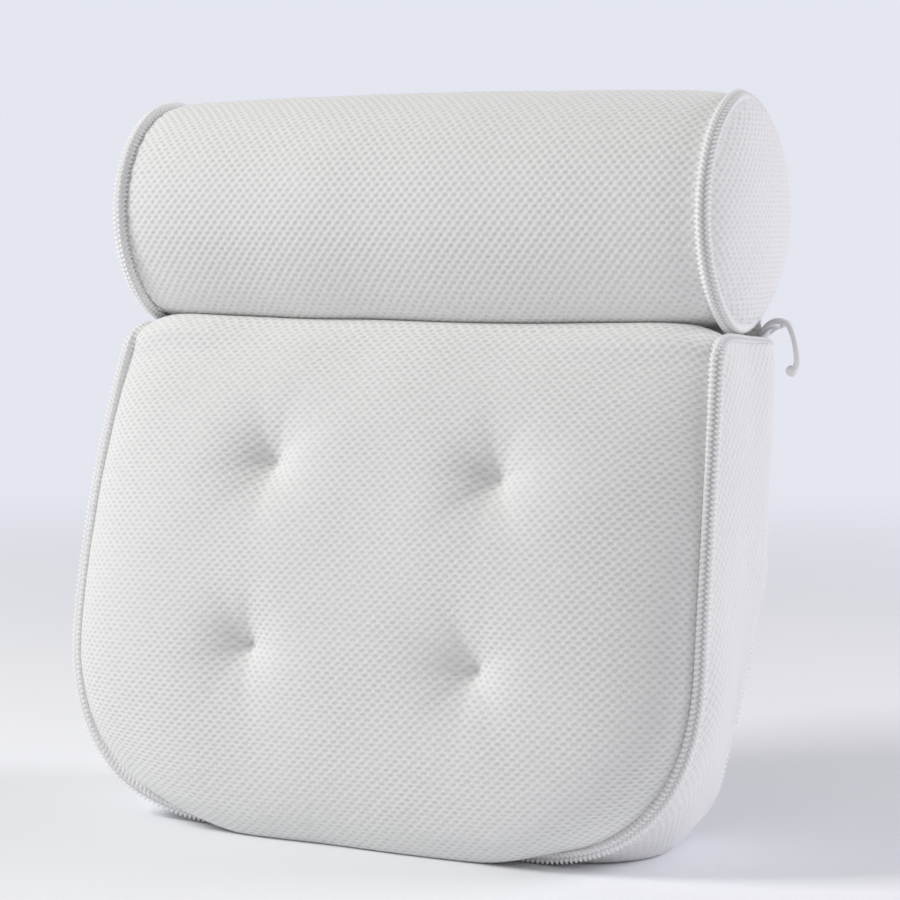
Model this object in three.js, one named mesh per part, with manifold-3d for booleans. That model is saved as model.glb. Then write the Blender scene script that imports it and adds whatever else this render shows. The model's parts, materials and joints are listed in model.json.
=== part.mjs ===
// Bath pillow: a round head roll folded on top of a tufted box cushion.
// Millimetres, +Z up, front towards -Y, floor at z = 0.
import * as THREE from 'three';
import Module from 'manifold-3d';

const wasm = await Module();
wasm.setup();

// Overall sizes
const CUSHION_HALF_WIDTH = 160.5;
const CUSHION_TOP_TAPER = 7.2;
const TAPER_START_HEIGHT = 66;
const CUSHION_SHOULDER_HEIGHT = 226;
const BOTTOM_CORNER_RADIUS = 92;
const SEAM_FOOT_HEIGHT = 3.8;
const FRONT_SEAM_DEPTH = 84;
const FRONT_SEAM_SETBACK = 42.4;
const FRONT_UNDERCUT = 7;
const UNDERCUT_HEIGHT = 24;
const BACK_FOOT_Y = 10;
const BACK_LEAN = 0.07;
const BACK_SIDE_DRAW = 23.2;
const BACK_DRAW_HEIGHT = 129;
const BACK_CORNER_RADIUS = 24;
const BODY_SHIFT_Y = 16.3;

// Cloth and seams
const CLOTH = 3;
const FIT = 0.3;
const FILL_SLACK = 0.3;
const WELT_RADIUS = 2.6;
const WELT_SIDES = 6;
const SEAM_INSET = 3.4;
const BACK_WELT_DROP = 6;
const SIDE_BULGE = 4.2;
const TOP_SWELL = 0.4;
const FOOT_SWELL = 1.35;
const PANEL_EDGE_POWER = 5;
const PANEL_EDGE_ROUND = 0.58;

// Tufts
const TUFT_FRACTION = 0.375;
const TUFT_LOW = 88;
const TUFT_HIGH = 170.8;
const TUFT_DEPTH = 14;
const TUFT_REACH = 21;
const TUFT_PINCH = 8;
const TIE_RADIUS = 1.1;
const KNOT_RADIUS = 2.2;
const KNOT_LENGTH = 1.6;
const TIE_SIDES = 10;

// Roll
const ROLL_SIDE_INSET = 8.5;
const ROLL_END_RADIUS = 54;
const ROLL_BARREL = 2.7;
const ROLL_LIFT = 6.1;
const ROLL_CAP_BULGE = 9;
const ROLL_SIDES = 28;
const ROLL_END_X = CUSHION_HALF_WIDTH - ROLL_SIDE_INSET;
const ROLL_AXIS_Z = CUSHION_SHOULDER_HEIGHT + ROLL_LIFT + ROLL_END_RADIUS + ROLL_BARREL;

// Fold between the cushion and the roll
const LEAF_TURN_FROM = -52;
const LEAF_TURN_TO = -24;
const LEAF_REACH = 5.907;
const LEAF_DROP = 22;
const FOLD_RISE = 5.8;
const ROLL_SKIN = ROLL_END_RADIUS + ROLL_BARREL + FIT;
const FOLD_Y = ROLL_SKIN * Math.cos((LEAF_TURN_FROM * Math.PI) / 180) + LEAF_REACH;
const FOLD_Z = CUSHION_SHOULDER_HEIGHT + FOLD_RISE;
const WEB_SIDE_INSET = 16.7;
const WEB_HALF_LENGTH = CUSHION_HALF_WIDTH - WEB_SIDE_INSET;
const WEB_CLOTH = 2;
const FOLD_SLIT = 0.5;
const FOLD_EDGE = 0.4;
const FOLD_TAPER = 0.8;

// Suction cups
const LIP_RADIUS = 27;
const CUP_HEIGHT = 19;
const NECK_RADIUS = 4.5;
const HEAD_RADIUS = 7.2;
const SEAT_RADIUS = 16;
const SEAT_CAVITY_RADIUS = 9;
const SEAT_HEIGHT = 7.5;
const SEAT_WALL = 2;
const CUP_SIDES = 18;
const ROLL_CUP_INSET = 77;
const ROLL_CUP_X = ROLL_END_X - ROLL_CUP_INSET;
const BACK_CUP_INSET = 62.5;
const BACK_CUP_X = CUSHION_HALF_WIDTH - BACK_CUP_INSET;
const BACK_CUP_LOW = 70;
const BACK_CUP_HIGH = 160;

// Hanging hook and its loop
const HOOK_SETBACK = 3;
const HOOK_WIRE = 1.5;
const HOOK_BALL = 2.3;
const HOOK_REACH = 9.9;
const HOOK_RISE = 6.4;
const HOOK_Y = FOLD_Y - HOOK_SETBACK;
const HOOK_APEX_X = WEB_HALF_LENGTH + HOOK_REACH;
const HOOK_APEX_Z = FOLD_Z + HOOK_RISE;
const LOOP_CORD = 0.8;
const LOOP_HALF_WIDTH = 5.5;
const LOOP_GAP = 0.9;
const LOOP_ROOT_X = WEB_HALF_LENGTH + LOOP_GAP;

// Colours of the cloth and the plastics
const MESH_WHITE = { color: 0xe9e9ee, roughness: 0.95, metalness: 0 };
const WELT_WHITE = { color: 0xf1f1f5, roughness: 0.9, metalness: 0 };
const FILL_WHITE = { color: 0xf6f4ee, roughness: 1, metalness: 0 };
const THREAD_WHITE = { color: 0xf3f3f6, roughness: 0.85, metalness: 0 };
const HOOK_WHITE = { color: 0xf4f4f6, roughness: 0.3, metalness: 0 };
const CUP_CLEAR = { color: 0xdfe6ea, roughness: 0.2, metalness: 0 };
const SEAT_WHITE = { color: 0xebebef, roughness: 0.6, metalness: 0 };

const part = new THREE.Group();
part.name = 'bath_pillow';

// Straight-line reading of a small table of [position, value] pairs.
function between(table, at) {
  if (at <= table[0][0]) return table[0][1];
  for (let i = 1; i < table.length; i += 1) {
    const [x1, v1] = table[i];
    const [x0, v0] = table[i - 1];
    if (at <= x1) return v0 + ((v1 - v0) * (at - x0)) / (x1 - x0);
  }
  return table[table.length - 1][1];
}

const lerp = (a, b, t) => a + (b - a) * t;

// A closed body from points and triangles, turned outward if its volume is negative.
function closed(points, triangles) {
  let volume = 0;
  for (const [a, b, c] of triangles) {
    const [p, q, r] = [points[a], points[b], points[c]];
    volume += p[0] * (q[1] * r[2] - q[2] * r[1]);
    volume += p[1] * (q[2] * r[0] - q[0] * r[2]);
    volume += p[2] * (q[0] * r[1] - q[1] * r[0]);
  }
  const faces = volume > 0 ? triangles : triangles.map(([a, b, c]) => [a, c, b]);
  const geometry = new THREE.BufferGeometry();
  geometry.setAttribute('position', new THREE.Float32BufferAttribute(points.flat(), 3));
  geometry.setIndex(faces.flat());
  return geometry;
}

function toManifold(geometry) {
  const mesh = new wasm.Mesh({
    numProp: 3,
    vertProperties: new Float32Array(geometry.attributes.position.array),
    triVerts: new Uint32Array(geometry.index.array),
  });
  return new wasm.Manifold(mesh);
}

function fromManifold(body) {
  const mesh = body.getMesh();
  const geometry = new THREE.BufferGeometry();
  geometry.setAttribute('position', new THREE.Float32BufferAttribute(mesh.vertProperties, 3));
  geometry.setIndex(Array.from(mesh.triVerts));
  return geometry;
}

function minus(geometry, tools) {
  let body = toManifold(geometry);
  for (const tool of tools) body = body.subtract(toManifold(tool));
  return fromManifold(body);
}

function joined(list) {
  let body = toManifold(list[0]);
  for (const other of list.slice(1)) body = body.add(toManifold(other));
  return fromManifold(body);
}

function add(parent, name, geometry, finish) {
  geometry.computeVertexNormals();
  const mesh = new THREE.Mesh(geometry, new THREE.MeshStandardMaterial(finish));
  mesh.name = name;
  parent.add(mesh);
  return mesh;
}

// Two equal grids of points, outer and inner, closed along their rims.
function shell(outer, inner) {
  const rows = outer.length;
  const columns = outer[0].length;
  const points = [...outer.flat(), ...inner.flat()];
  const at = (side, i, j) => side * rows * columns + i * columns + j;
  const triangles = [];
  const quad = (a, b, c, d) => triangles.push([a, b, c], [a, c, d]);
  for (let i = 0; i + 1 < rows; i += 1) {
    for (let j = 0; j + 1 < columns; j += 1) {
      quad(at(0, i, j), at(0, i, j + 1), at(0, i + 1, j + 1), at(0, i + 1, j));
      quad(at(1, i, j), at(1, i + 1, j), at(1, i + 1, j + 1), at(1, i, j + 1));
    }
  }
  for (let j = 0; j + 1 < columns; j += 1) {
    quad(at(0, 0, j), at(1, 0, j), at(1, 0, j + 1), at(0, 0, j + 1));
    quad(at(0, rows - 1, j), at(0, rows - 1, j + 1), at(1, rows - 1, j + 1), at(1, rows - 1, j));
  }
  for (let i = 0; i + 1 < rows; i += 1) {
    quad(at(0, i, 0), at(0, i + 1, 0), at(1, i + 1, 0), at(1, i, 0));
    const last = columns - 1;
    quad(at(0, i, last), at(1, i, last), at(1, i + 1, last), at(0, i + 1, last));
  }
  return closed(points, triangles);
}

// Triangles of a flat outline, wound the way the outline runs.
function faced(outline) {
  const way = Math.sign(THREE.ShapeUtils.area(outline));
  return THREE.ShapeUtils.triangulateShape(outline, []).map(([a, b, c]) => {
    const own = THREE.ShapeUtils.area([outline[a], outline[b], outline[c]]);
    return Math.sign(own) === way ? [a, b, c] : [a, c, b];
  });
}

// A straight block between two copies of one outline, each point placed by a function.
function block(outline, placeNear, placeFar) {
  const n = outline.length;
  const points = [...outline.map(placeNear), ...outline.map(placeFar)];
  const triangles = [];
  for (const [a, b, c] of faced(outline)) triangles.push([a, b, c], [n + a, n + c, n + b]);
  for (let k = 0; k < n; k += 1) {
    const m = (k + 1) % n;
    triangles.push([m, k, n + k], [m, n + k, n + m]);
  }
  return closed(points, triangles);
}

// A [radius, height] profile turned about the local Z axis. It runs from axis to axis,
// or round a closed ring.
function turned(profile, sides, ring) {
  const points = [];
  const rows = [];
  for (const [radius, height] of profile) {
    const row = [];
    const pole = radius < 1e-6;
    for (let k = 0; k < sides; k += 1) {
      if (!pole || k === 0) {
        const angle = (2 * Math.PI * k) / sides;
        points.push([radius * Math.cos(angle), radius * Math.sin(angle), height]);
      }
      row.push(points.length - 1);
    }
    rows.push(row);
  }
  if (ring) rows.push(rows[0]);
  const triangles = [];
  for (let i = 0; i + 1 < rows.length; i += 1) {
    for (let k = 0; k < sides; k += 1) {
      const n = (k + 1) % sides;
      const [a, b, c, d] = [rows[i][k], rows[i][n], rows[i + 1][n], rows[i + 1][k]];
      if (a !== b) triangles.push([a, b, c]);
      if (c !== d) triangles.push([a, c, d]);
    }
  }
  return closed(points, triangles);
}

// A round section carried along a line of points, with flat ends.
function swept(path, radius, sides) {
  const line = path.map((p) => new THREE.Vector3(...p));
  const count = line.length;
  const pick = (i) => line[Math.min(count - 1, Math.max(0, i))];
  const points = [];
  const triangles = [];
  const normal = new THREE.Vector3();
  for (let i = 0; i < count; i += 1) {
    const along = pick(i + 1).clone().sub(pick(i - 1)).normalize();
    if (i === 0) normal.set(0.12, 0.31, 0.94);
    normal.addScaledVector(along, -normal.dot(along)).normalize();
    const side = along.clone().cross(normal);
    for (let k = 0; k < sides; k += 1) {
      const angle = (2 * Math.PI * k) / sides;
      const p = line[i].clone();
      p.addScaledVector(normal, radius * Math.cos(angle));
      p.addScaledVector(side, radius * Math.sin(angle));
      points.push([p.x, p.y, p.z]);
    }
  }
  for (let i = 0; i + 1 < count; i += 1) {
    for (let k = 0; k < sides; k += 1) {
      const n = (k + 1) % sides;
      const [a, b] = [i * sides + k, i * sides + n];
      triangles.push([a, b, b + sides], [a, b + sides, a + sides]);
    }
  }
  for (let k = 1; k + 1 < sides; k += 1) {
    const base = (count - 1) * sides;
    triangles.push([0, k + 1, k], [base, base + k, base + k + 1]);
  }
  return closed(points, triangles);
}

// Half-width of the cushion outline at a height above its foot.
function outlineHalfWidth(z) {
  const rise = Math.max(0, z - TAPER_START_HEIGHT) / (CUSHION_SHOULDER_HEIGHT - TAPER_START_HEIGHT);
  return CUSHION_HALF_WIDTH - CUSHION_TOP_TAPER * rise * rise;
}

// Outline point and its outward direction for one side, drawn in by an inset.
function outlineAt(z, inset) {
  const centreZ = SEAM_FOOT_HEIGHT + BOTTOM_CORNER_RADIUS;
  if (z >= centreZ) return { x: outlineHalfWidth(z) - inset, z, mx: 1, mz: 0 };
  const drop = Math.min(1, (centreZ - z) / BOTTOM_CORNER_RADIUS);
  const across = Math.sqrt(1 - drop * drop);
  const centreX = outlineHalfWidth(z) - BOTTOM_CORNER_RADIUS;
  const reach = BOTTOM_CORNER_RADIUS - inset;
  return { x: centreX + reach * across, z: centreZ - reach * drop, mx: across, mz: -drop };
}

function frontSeamY(z) {
  const tuck = Math.max(0, 1 - z / UNDERCUT_HEIGHT);
  const rise = z / CUSHION_SHOULDER_HEIGHT;
  return -FRONT_SEAM_DEPTH + FRONT_SEAM_SETBACK * rise * rise + FRONT_UNDERCUT * tuck * tuck;
}

const backSeamY = (z) => BACK_FOOT_Y + BACK_LEAN * z;

// The back outline keeps its width down to a height, then draws in to a tighter bottom corner.
function backHalfWidth(z) {
  const low = Math.max(0, 1 - z / BACK_DRAW_HEIGHT);
  return outlineHalfWidth(CUSHION_SHOULDER_HEIGHT) - BACK_SIDE_DRAW * low ** 1.5;
}

// The lower right part of the back outline, from the level of the front corner's centre down.
function backCornerLine(inset) {
  const line = [];
  const upper = SEAM_FOOT_HEIGHT + BOTTOM_CORNER_RADIUS;
  const lower = SEAM_FOOT_HEIGHT + BACK_CORNER_RADIUS;
  for (let k = 0; k < 24; k += 1) {
    const z = lerp(upper, lower, k / 24);
    line.push([backHalfWidth(z) - inset, z]);
  }
  const reach = BACK_CORNER_RADIUS - inset;
  for (let k = 0; k <= 16; k += 1) {
    const turn = (k / 16) * (Math.PI / 2);
    const x = backHalfWidth(lower) - BACK_CORNER_RADIUS + reach * Math.cos(turn);
    line.push([x, lower - reach * Math.sin(turn)]);
  }
  return line;
}

// The back outline's point that faces the front outline's point at a height.
function backOutlineAt(z, inset) {
  const centreZ = SEAM_FOOT_HEIGHT + BOTTOM_CORNER_RADIUS;
  if (z >= centreZ) return { x: backHalfWidth(z) - inset, z, mx: 1, mz: 0 };
  const line = backCornerLine(inset);
  const walked = [0];
  for (let k = 1; k < line.length; k += 1) {
    walked.push(walked[k - 1] + Math.hypot(line[k][0] - line[k - 1][0], line[k][1] - line[k - 1][1]));
  }
  const turn = Math.acos(Math.min(1, (centreZ - z) / BOTTOM_CORNER_RADIUS));
  const way = walked[walked.length - 1] * (1 - turn / (Math.PI / 2));
  const k = Math.max(1, walked.findIndex((d) => d >= way - 1e-9));
  const t = (way - walked[k - 1]) / (walked[k] - walked[k - 1]);
  const [dx, dz] = [line[k][0] - line[k - 1][0], line[k][1] - line[k - 1][1]];
  const size = Math.hypot(dx, dz);
  return { x: line[k - 1][0] + dx * t, z: line[k - 1][1] + dz * t, mx: -dz / size, mz: dx / size };
}

// Side profile of the front seam: rows up the front, with one through each line of tufts.
const FRONT_HEIGHTS = [
  ...[0, 0.038, 0.109, 0.228, 0.394, 0.596, 0.798].map((f) => lerp(SEAM_FOOT_HEIGHT, TUFT_LOW, f)),
  ...[0, 0.193, 0.399, 0.604, 0.809].map((f) => lerp(TUFT_LOW, TUFT_HIGH, f)),
  ...[0, 0.275, 0.547, 0.8, 1].map((f) => lerp(TUFT_HIGH, CUSHION_SHOULDER_HEIGHT, f)),
];
// A place on top of the cushion, from a share of its depth there and a rise over the shoulder.
const seamTopY = frontSeamY(CUSHION_SHOULDER_HEIGHT);
const topDepth = backSeamY(CUSHION_SHOULDER_HEIGHT) - seamTopY;
const onTop = ([share, rise]) => [seamTopY + share * topDepth, CUSHION_SHOULDER_HEIGHT + rise];
// The profile goes on over the top to the fold.
const TOP_ROWS = [[0.0757, 4.6], [0.2018, 5.6], [0.3946, 3.4], [0.6171, 0.5], [0.8692, 1.3],
  [1.0027, 1.3]].map(onTop);
// Upper edge of the side band under that profile.
const BAND_TOP = [[0.0387, -4.5], [0.1277, 0], [0.2315, 1.8], [0.3946, -0.2], [0.6171, -3],
  [1.0175, -2.2]].map(onTop);
// How the cloth stands off that profile at a share of the shoulder height: its crown, and the
// lean of that crown in degrees above level.
const CROWN = [[0.0169, 0], [0.031, 13.9], [0.0575, 17.5], [0.1018, 21.5], [0.1637, 24.5], [0.2389, 26],
  [0.4602, 26.5], [0.6106, 25], [0.7522, 21.5], [0.8894, 15.5], [0.9513, 11.5], [1, 8.5]];
const CROWN_LEAN = [[0.0169, -60], [0.031, -48], [0.0575, -34], [0.1018, -20], [0.1637, -8], [0.2389, 0],
  [0.4602, 8], [0.6858, 13], [0.823, 18], [0.8894, 24], [0.9513, 36], [1, 52]];
const TOP_CROWN = [6.4, 5.4, 3.7, 5.0, 3.5, 0];
const TOP_LEAN = [72, 84, 90, 90, 90, 90];
const COLUMNS = [0, 0.1, 0.19, 0.28, 0.375, 0.47, 0.565, 0.66, 0.75, 0.84, 0.91, 0.965, 1];

const rowsOfProfile = [];
for (const z of FRONT_HEIGHTS) {
  const share = z / CUSHION_SHOULDER_HEIGHT;
  rowsOfProfile.push({
    y: frontSeamY(z), z, crown: between(CROWN, share), lean: between(CROWN_LEAN, share),
  });
}
TOP_ROWS.forEach(([y, z], k) => {
  rowsOfProfile.push({ y, z, crown: TOP_CROWN[k], lean: TOP_LEAN[k] });
});
const FRONT_COUNT = FRONT_HEIGHTS.length;
const ROW_COUNT = rowsOfProfile.length;
const across = [...COLUMNS.slice(1).map((u) => -u).reverse(), ...COLUMNS];

// Sunk depth of the four sewn tufts at a point of the front, in millimetres.
function tuftDip(x, z, tuftX) {
  let dip = 0;
  for (const tz of [TUFT_LOW, TUFT_HIGH]) {
    for (const tx of [-tuftX, tuftX]) {
      const r = Math.hypot(x - tx, z - tz);
      const bowl = Math.exp(-((r / TUFT_REACH) ** 2));
      dip += TUFT_DEPTH * (0.5 * bowl + 0.5 * Math.exp(-r / TUFT_PINCH));
    }
  }
  return dip;
}

// One point of the cloth surface on row i at fraction u, sunk by a depth below the outside.
function panelPoint(i, u, sunk) {
  const row = rowsOfProfile[i];
  const edge = outlineAt(row.z, SEAM_INSET);
  const x = edge.x * u;
  const fall = Math.max(0, 1 - Math.abs(u) ** PANEL_EDGE_POWER) ** PANEL_EDGE_ROUND;
  let stand = row.crown * fall - sunk;
  if (i < FRONT_COUNT) stand -= tuftDip(x, row.z, TUFT_FRACTION * edge.x) * fall;
  const lean = (row.lean * Math.PI) / 180;
  const foldGap = i + 1 === ROW_COUNT ? SEAM_INSET : 0;
  const y = row.y - stand * Math.cos(lean) - foldGap;
  const z = (i < FRONT_COUNT ? edge.z : row.z) + stand * Math.sin(lean);
  return [x, y, Math.max(sunk, z)];
}

function panelGrid(sunk) {
  return rowsOfProfile.map((row, i) => across.map((u) => panelPoint(i, u, sunk)));
}

const cushion = new THREE.Group();
cushion.name = 'cushion';
part.add(cushion);

// Sewing ties: a thread with a knot at each face, from a tuft straight back.
function tieProfile(front, back, spare) {
  const r = TIE_RADIUS + spare;
  const k = KNOT_RADIUS + spare;
  return [
    [0, front - KNOT_LENGTH - spare],
    [k, front - KNOT_LENGTH - spare],
    [k, front + spare],
    [r, front + spare],
    [r, back - spare],
    [k, back - spare],
    [k, back + KNOT_LENGTH + spare],
    [0, back + KNOT_LENGTH + spare],
  ];
}

const tuftPlaces = [
  { name: 'lower_left', side: -1, z: TUFT_LOW },
  { name: 'lower_right', side: 1, z: TUFT_LOW },
  { name: 'upper_left', side: -1, z: TUFT_HIGH },
  { name: 'upper_right', side: 1, z: TUFT_HIGH },
];
const tieCuts = [];
const ties = [];
for (const place of tuftPlaces) {
  const i = FRONT_HEIGHTS.indexOf(place.z);
  const [x, y, z] = panelPoint(i, TUFT_FRACTION * place.side, 0);
  const back = backSeamY(z) + FIT + KNOT_RADIUS * BACK_LEAN;
  const placed = (geometry) => {
    geometry.rotateX(-Math.PI / 2);
    geometry.translate(x, 0, z);
    return geometry;
  };
  const front = y + KNOT_LENGTH * 0.5;
  ties.push({ name: place.name, geometry: placed(turned(tieProfile(front, back, 0), TIE_SIDES)) });
  tieCuts.push(placed(turned(tieProfile(front, back, FIT), TIE_SIDES)));
}

add(cushion, 'cushion_front_panel', minus(shell(panelGrid(0), panelGrid(CLOTH)), tieCuts), MESH_WHITE);
ties.forEach((tie) => add(cushion, `tuft_tie_${tie.name}`, tie.geometry, THREAD_WHITE));

// Side band: up the left side, along the bottom and up the right side, front seam to back seam.
const edgeY = rowsOfProfile.slice(FRONT_COUNT - 1).map((row) => row.y);
const edgeSpan = edgeY[edgeY.length - 1] - edgeY[0];
const fractions = edgeY.map((y) => (y - edgeY[0]) / edgeSpan);

function bandPoint(station, v, sunk) {
  const bulge = SIDE_BULGE * (1 - Math.abs(2 * v - 1) ** 4) * station.swell - sunk;
  const { front, back } = station;
  const y = lerp(frontSeamY(station.row) + SEAM_INSET, backSeamY(back.z) - SEAM_INSET, v);
  const level = lerp(front.z, back.z, v) + lerp(front.mz, back.mz, v) * bulge;
  const z = station.top ? between(BAND_TOP, y) : level;
  const x = lerp(front.x, back.x, v) + lerp(front.mx, back.mx, v) * bulge;
  return [station.side * x, y, Math.max(sunk, z)];
}

const stations = [];
for (let i = FRONT_COUNT - 1; i >= 0; i -= 1) {
  const row = FRONT_HEIGHTS[i];
  const top = i === FRONT_COUNT - 1;
  stations.push({
    front: outlineAt(row, 0), back: backOutlineAt(row, 0), side: -1, row, top, swell: top ? TOP_SWELL : 1,
  });
}
const leftStations = stations.slice();
const footX = outlineAt(SEAM_FOOT_HEIGHT, 0).x;
const backFootX = backOutlineAt(SEAM_FOOT_HEIGHT, 0).x;
for (const u of across.slice(1, -1)) {
  const down = { z: SEAM_FOOT_HEIGHT, mx: 0, mz: -1 };
  stations.push({
    front: { ...down, x: footX * u }, back: { ...down, x: backFootX * u },
    side: 1, row: SEAM_FOOT_HEIGHT, top: false, swell: FOOT_SWELL,
  });
}
for (const s of leftStations.reverse()) stations.push({ ...s, side: 1 });

const bandGrid = (sunk) => stations.map((s) => fractions.map((v) => bandPoint(s, v, sunk)));
add(cushion, 'cushion_side_band', shell(bandGrid(0), bandGrid(CLOTH)), MESH_WHITE);

// Back panel: a flat sheet on the leaning back plane.
function backSheet() {
  const side = FRONT_HEIGHTS.map((z) => backOutlineAt(z, SEAM_INSET));
  const outline = side.map((p) => new THREE.Vector2(p.x, p.z));
  for (const p of [...side].reverse()) outline.push(new THREE.Vector2(-p.x, p.z));
  const outside = (p) => [p.x, backSeamY(p.y), p.y];
  const inside = (p) => [p.x, backSeamY(p.y) - CLOTH, p.y];
  return block(outline, outside, inside);
}
add(cushion, 'cushion_back_panel', minus(backSheet(), tieCuts), MESH_WHITE);

// Filling: one springy block that lies just inside the cloth all round.
function filling() {
  const sunk = CLOTH + FIT;
  const front = panelGrid(sunk);
  const last = across.length - 1;
  for (let i = FRONT_COUNT - 3; i < FRONT_COUNT; i += 1) {
    const rimY = rowsOfProfile[i].y + SEAM_INSET + FIT;
    for (const p of [front[i][0], front[i][last]]) p[1] = Math.max(p[1], rimY);
  }
  const points = front.flat();
  const triangles = [];
  const cell = (a, b, c, d) => triangles.push([a, b, c], [a, c, d]);
  const at = (i, j) => i * across.length + j;
  for (let i = 0; i + 1 < ROW_COUNT; i += 1) {
    for (let j = 0; j < last; j += 1) cell(at(i, j), at(i + 1, j), at(i + 1, j + 1), at(i, j + 1));
  }
  const loop = stations.map((s, k) => {
    const left = k < FRONT_COUNT;
    const right = k >= stations.length - FRONT_COUNT;
    const i = left ? FRONT_COUNT - 1 - k : right ? k - (stations.length - FRONT_COUNT) : 0;
    const j = left ? 0 : right ? last : k - FRONT_COUNT + 1;
    return fractions.map((v, step) => {
      if (s.top) return at(FRONT_COUNT - 1 + step, j);
      if (step === 0) return at(i, j);
      points.push(bandPoint(s, v, sunk + FILL_SLACK));
      return points.length - 1;
    });
  });
  const steps = fractions.length - 1;
  for (let k = 0; k + 1 < loop.length; k += 1) {
    for (let s = 0; s < steps; s += 1) {
      cell(loop[k][s], loop[k + 1][s], loop[k + 1][s + 1], loop[k][s + 1]);
    }
  }
  const rim = loop.map((row) => row[steps]);
  for (let j = last - 1; j > 0; j -= 1) rim.push(at(ROW_COUNT - 1, j));
  const flat = rim.map((k) => new THREE.Vector2(points[k][0], points[k][2]));
  for (const [a, b, c] of faced(flat)) triangles.push([rim[a], rim[b], rim[c]]);
  return closed(points, triangles);
}
add(cushion, 'cushion_filling', minus(filling(), tieCuts), FILL_WHITE);

// Welts along the front and back seams. The front one turns back over the top corners.
function seamPath(frontSide) {
  const side = [];
  if (frontSide) {
    for (const [y, z] of [...TOP_ROWS].reverse()) side.push([outlineHalfWidth(z), y, z]);
  }
  for (const level of [...FRONT_HEIGHTS].reverse()) {
    const row = frontSide ? level : Math.min(level, CUSHION_SHOULDER_HEIGHT - BACK_WELT_DROP);
    const { x, z } = frontSide ? outlineAt(row, 0) : backOutlineAt(row, 0);
    side.push([x, frontSide ? frontSeamY(row) : backSeamY(z), z]);
  }
  const left = side.map(([x, y, z]) => [-x, y, z]);
  const [, footY, footZ] = side[side.length - 1];
  const reach = frontSide ? footX : backFootX;
  const bottom = [-0.5, 0, 0.5].map((u) => [reach * u, footY, footZ]);
  return [...left, ...bottom, ...side.reverse()];
}
add(cushion, 'cushion_front_welt', swept(seamPath(true), WELT_RADIUS, WELT_SIDES), WELT_WHITE);
add(cushion, 'cushion_back_welt', swept(seamPath(false), WELT_RADIUS, WELT_SIDES), WELT_WHITE);

// Head roll: cover, two domed ends, two welts and a filling, about the X axis.
const roll = new THREE.Group();
roll.name = 'roll';
roll.position.z = ROLL_AXIS_Z;
roll.rotation.y = Math.PI / 2;
part.add(roll);
const coverEnd = ROLL_END_X - SEAM_INSET;
const capRim = ROLL_END_RADIUS - SEAM_INSET;
const barrel = (x) => ROLL_END_RADIUS + ROLL_BARREL * (1 - (x / coverEnd) ** 2);
const dome = (r) => ROLL_END_X + ROLL_CAP_BULGE * (1 - (r / capRim) ** 2);
const coverStations = [-1, -0.75, -0.5, -0.25, 0, 0.25, 0.5, 0.75, 1].map((f) => f * coverEnd);
const coverProfile = [
  ...coverStations.map((x) => [barrel(x), x]),
  ...[...coverStations].reverse().map((x) => [barrel(x) - CLOTH, x]),
];
add(roll, 'roll_cover', turned(coverProfile, ROLL_SIDES, true), MESH_WHITE);
const capRadii = [0, 0.3, 0.55, 0.8, 1].map((f) => f * capRim);
const weltRing = [0, 1, 2, 3, 4, 5].map((k) => (k * Math.PI) / 3).map((a) => [
  ROLL_END_RADIUS + WELT_RADIUS * Math.cos(a), ROLL_END_X + WELT_RADIUS * Math.sin(a),
]);
const mirrored = (profile, side) => profile.map(([r, x]) => [r, side * x]);
for (const [end, side] of [['left', -1], ['right', 1]]) {
  const cap = [
    ...capRadii.map((r) => [r, dome(r)]),
    ...[...capRadii].reverse().map((r) => [r, dome(r) - CLOTH]),
  ];
  add(roll, `roll_end_${end}`, turned(mirrored(cap, side), ROLL_SIDES), MESH_WHITE);
  add(roll, `roll_welt_${end}`, turned(mirrored(weltRing, side), ROLL_SIDES, true), WELT_WHITE);
}
const coreEnd = capRadii.slice(0, -1).map((r) => [r, dome(r) - CLOTH - FIT]);
const coreProfile = [
  ...mirrored(coreEnd, -1),
  ...coverStations.slice(1, -1).map((x) => [barrel(x) - CLOTH - FIT, x]),
  ...[...coreEnd].reverse(),
];
const coreShoulder = [barrel(coverEnd) - CLOTH - FIT, coverEnd - CLOTH];
coreProfile.splice(coreEnd.length, 0, [coreShoulder[0], -coreShoulder[1]]);
coreProfile.splice(coreProfile.length - coreEnd.length, 0, coreShoulder);
add(roll, 'roll_filling', turned(coreProfile, ROLL_SIDES), FILL_WHITE);

// Fold web: one strip of cloth, modelled as a leaf on each side of the fold line.
function strip(profile) {
  const outline = profile.map(([y, z]) => new THREE.Vector2(y, z));
  const left = (p) => [-WEB_HALF_LENGTH, p.x, p.y];
  const right = (p) => [WEB_HALF_LENGTH, p.x, p.y];
  return block(outline, left, right);
}

const arc = [];
for (let k = 0; k <= 4; k += 1) {
  arc.push((lerp(LEAF_TURN_FROM, LEAF_TURN_TO, k / 4) * Math.PI) / 180);
}
const onRoll = (angle, r) => [r * Math.cos(angle), ROLL_AXIS_Z + r * Math.sin(angle)];
const foldThick = FOLD_SLIT + FOLD_TAPER;
const rollLeaf = [
  [FOLD_Y - FOLD_EDGE, FOLD_Z + FOLD_SLIT],
  [FOLD_Y - WEB_CLOTH / 2, FOLD_Z + foldThick],
  ...arc.map((a) => onRoll(a, ROLL_SKIN)),
  ...[...arc].reverse().map((a) => onRoll(a, ROLL_SKIN + WEB_CLOTH)),
  [FOLD_Y + WEB_CLOTH / 2, FOLD_Z + foldThick],
  [FOLD_Y + FOLD_EDGE, FOLD_Z + FOLD_SLIT],
];
add(part, 'fold_web_roll_leaf', strip(rollLeaf), MESH_WHITE);
const leafTop = CUSHION_SHOULDER_HEIGHT + 1.6;
const leafFoot = CUSHION_SHOULDER_HEIGHT - LEAF_DROP;
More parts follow.
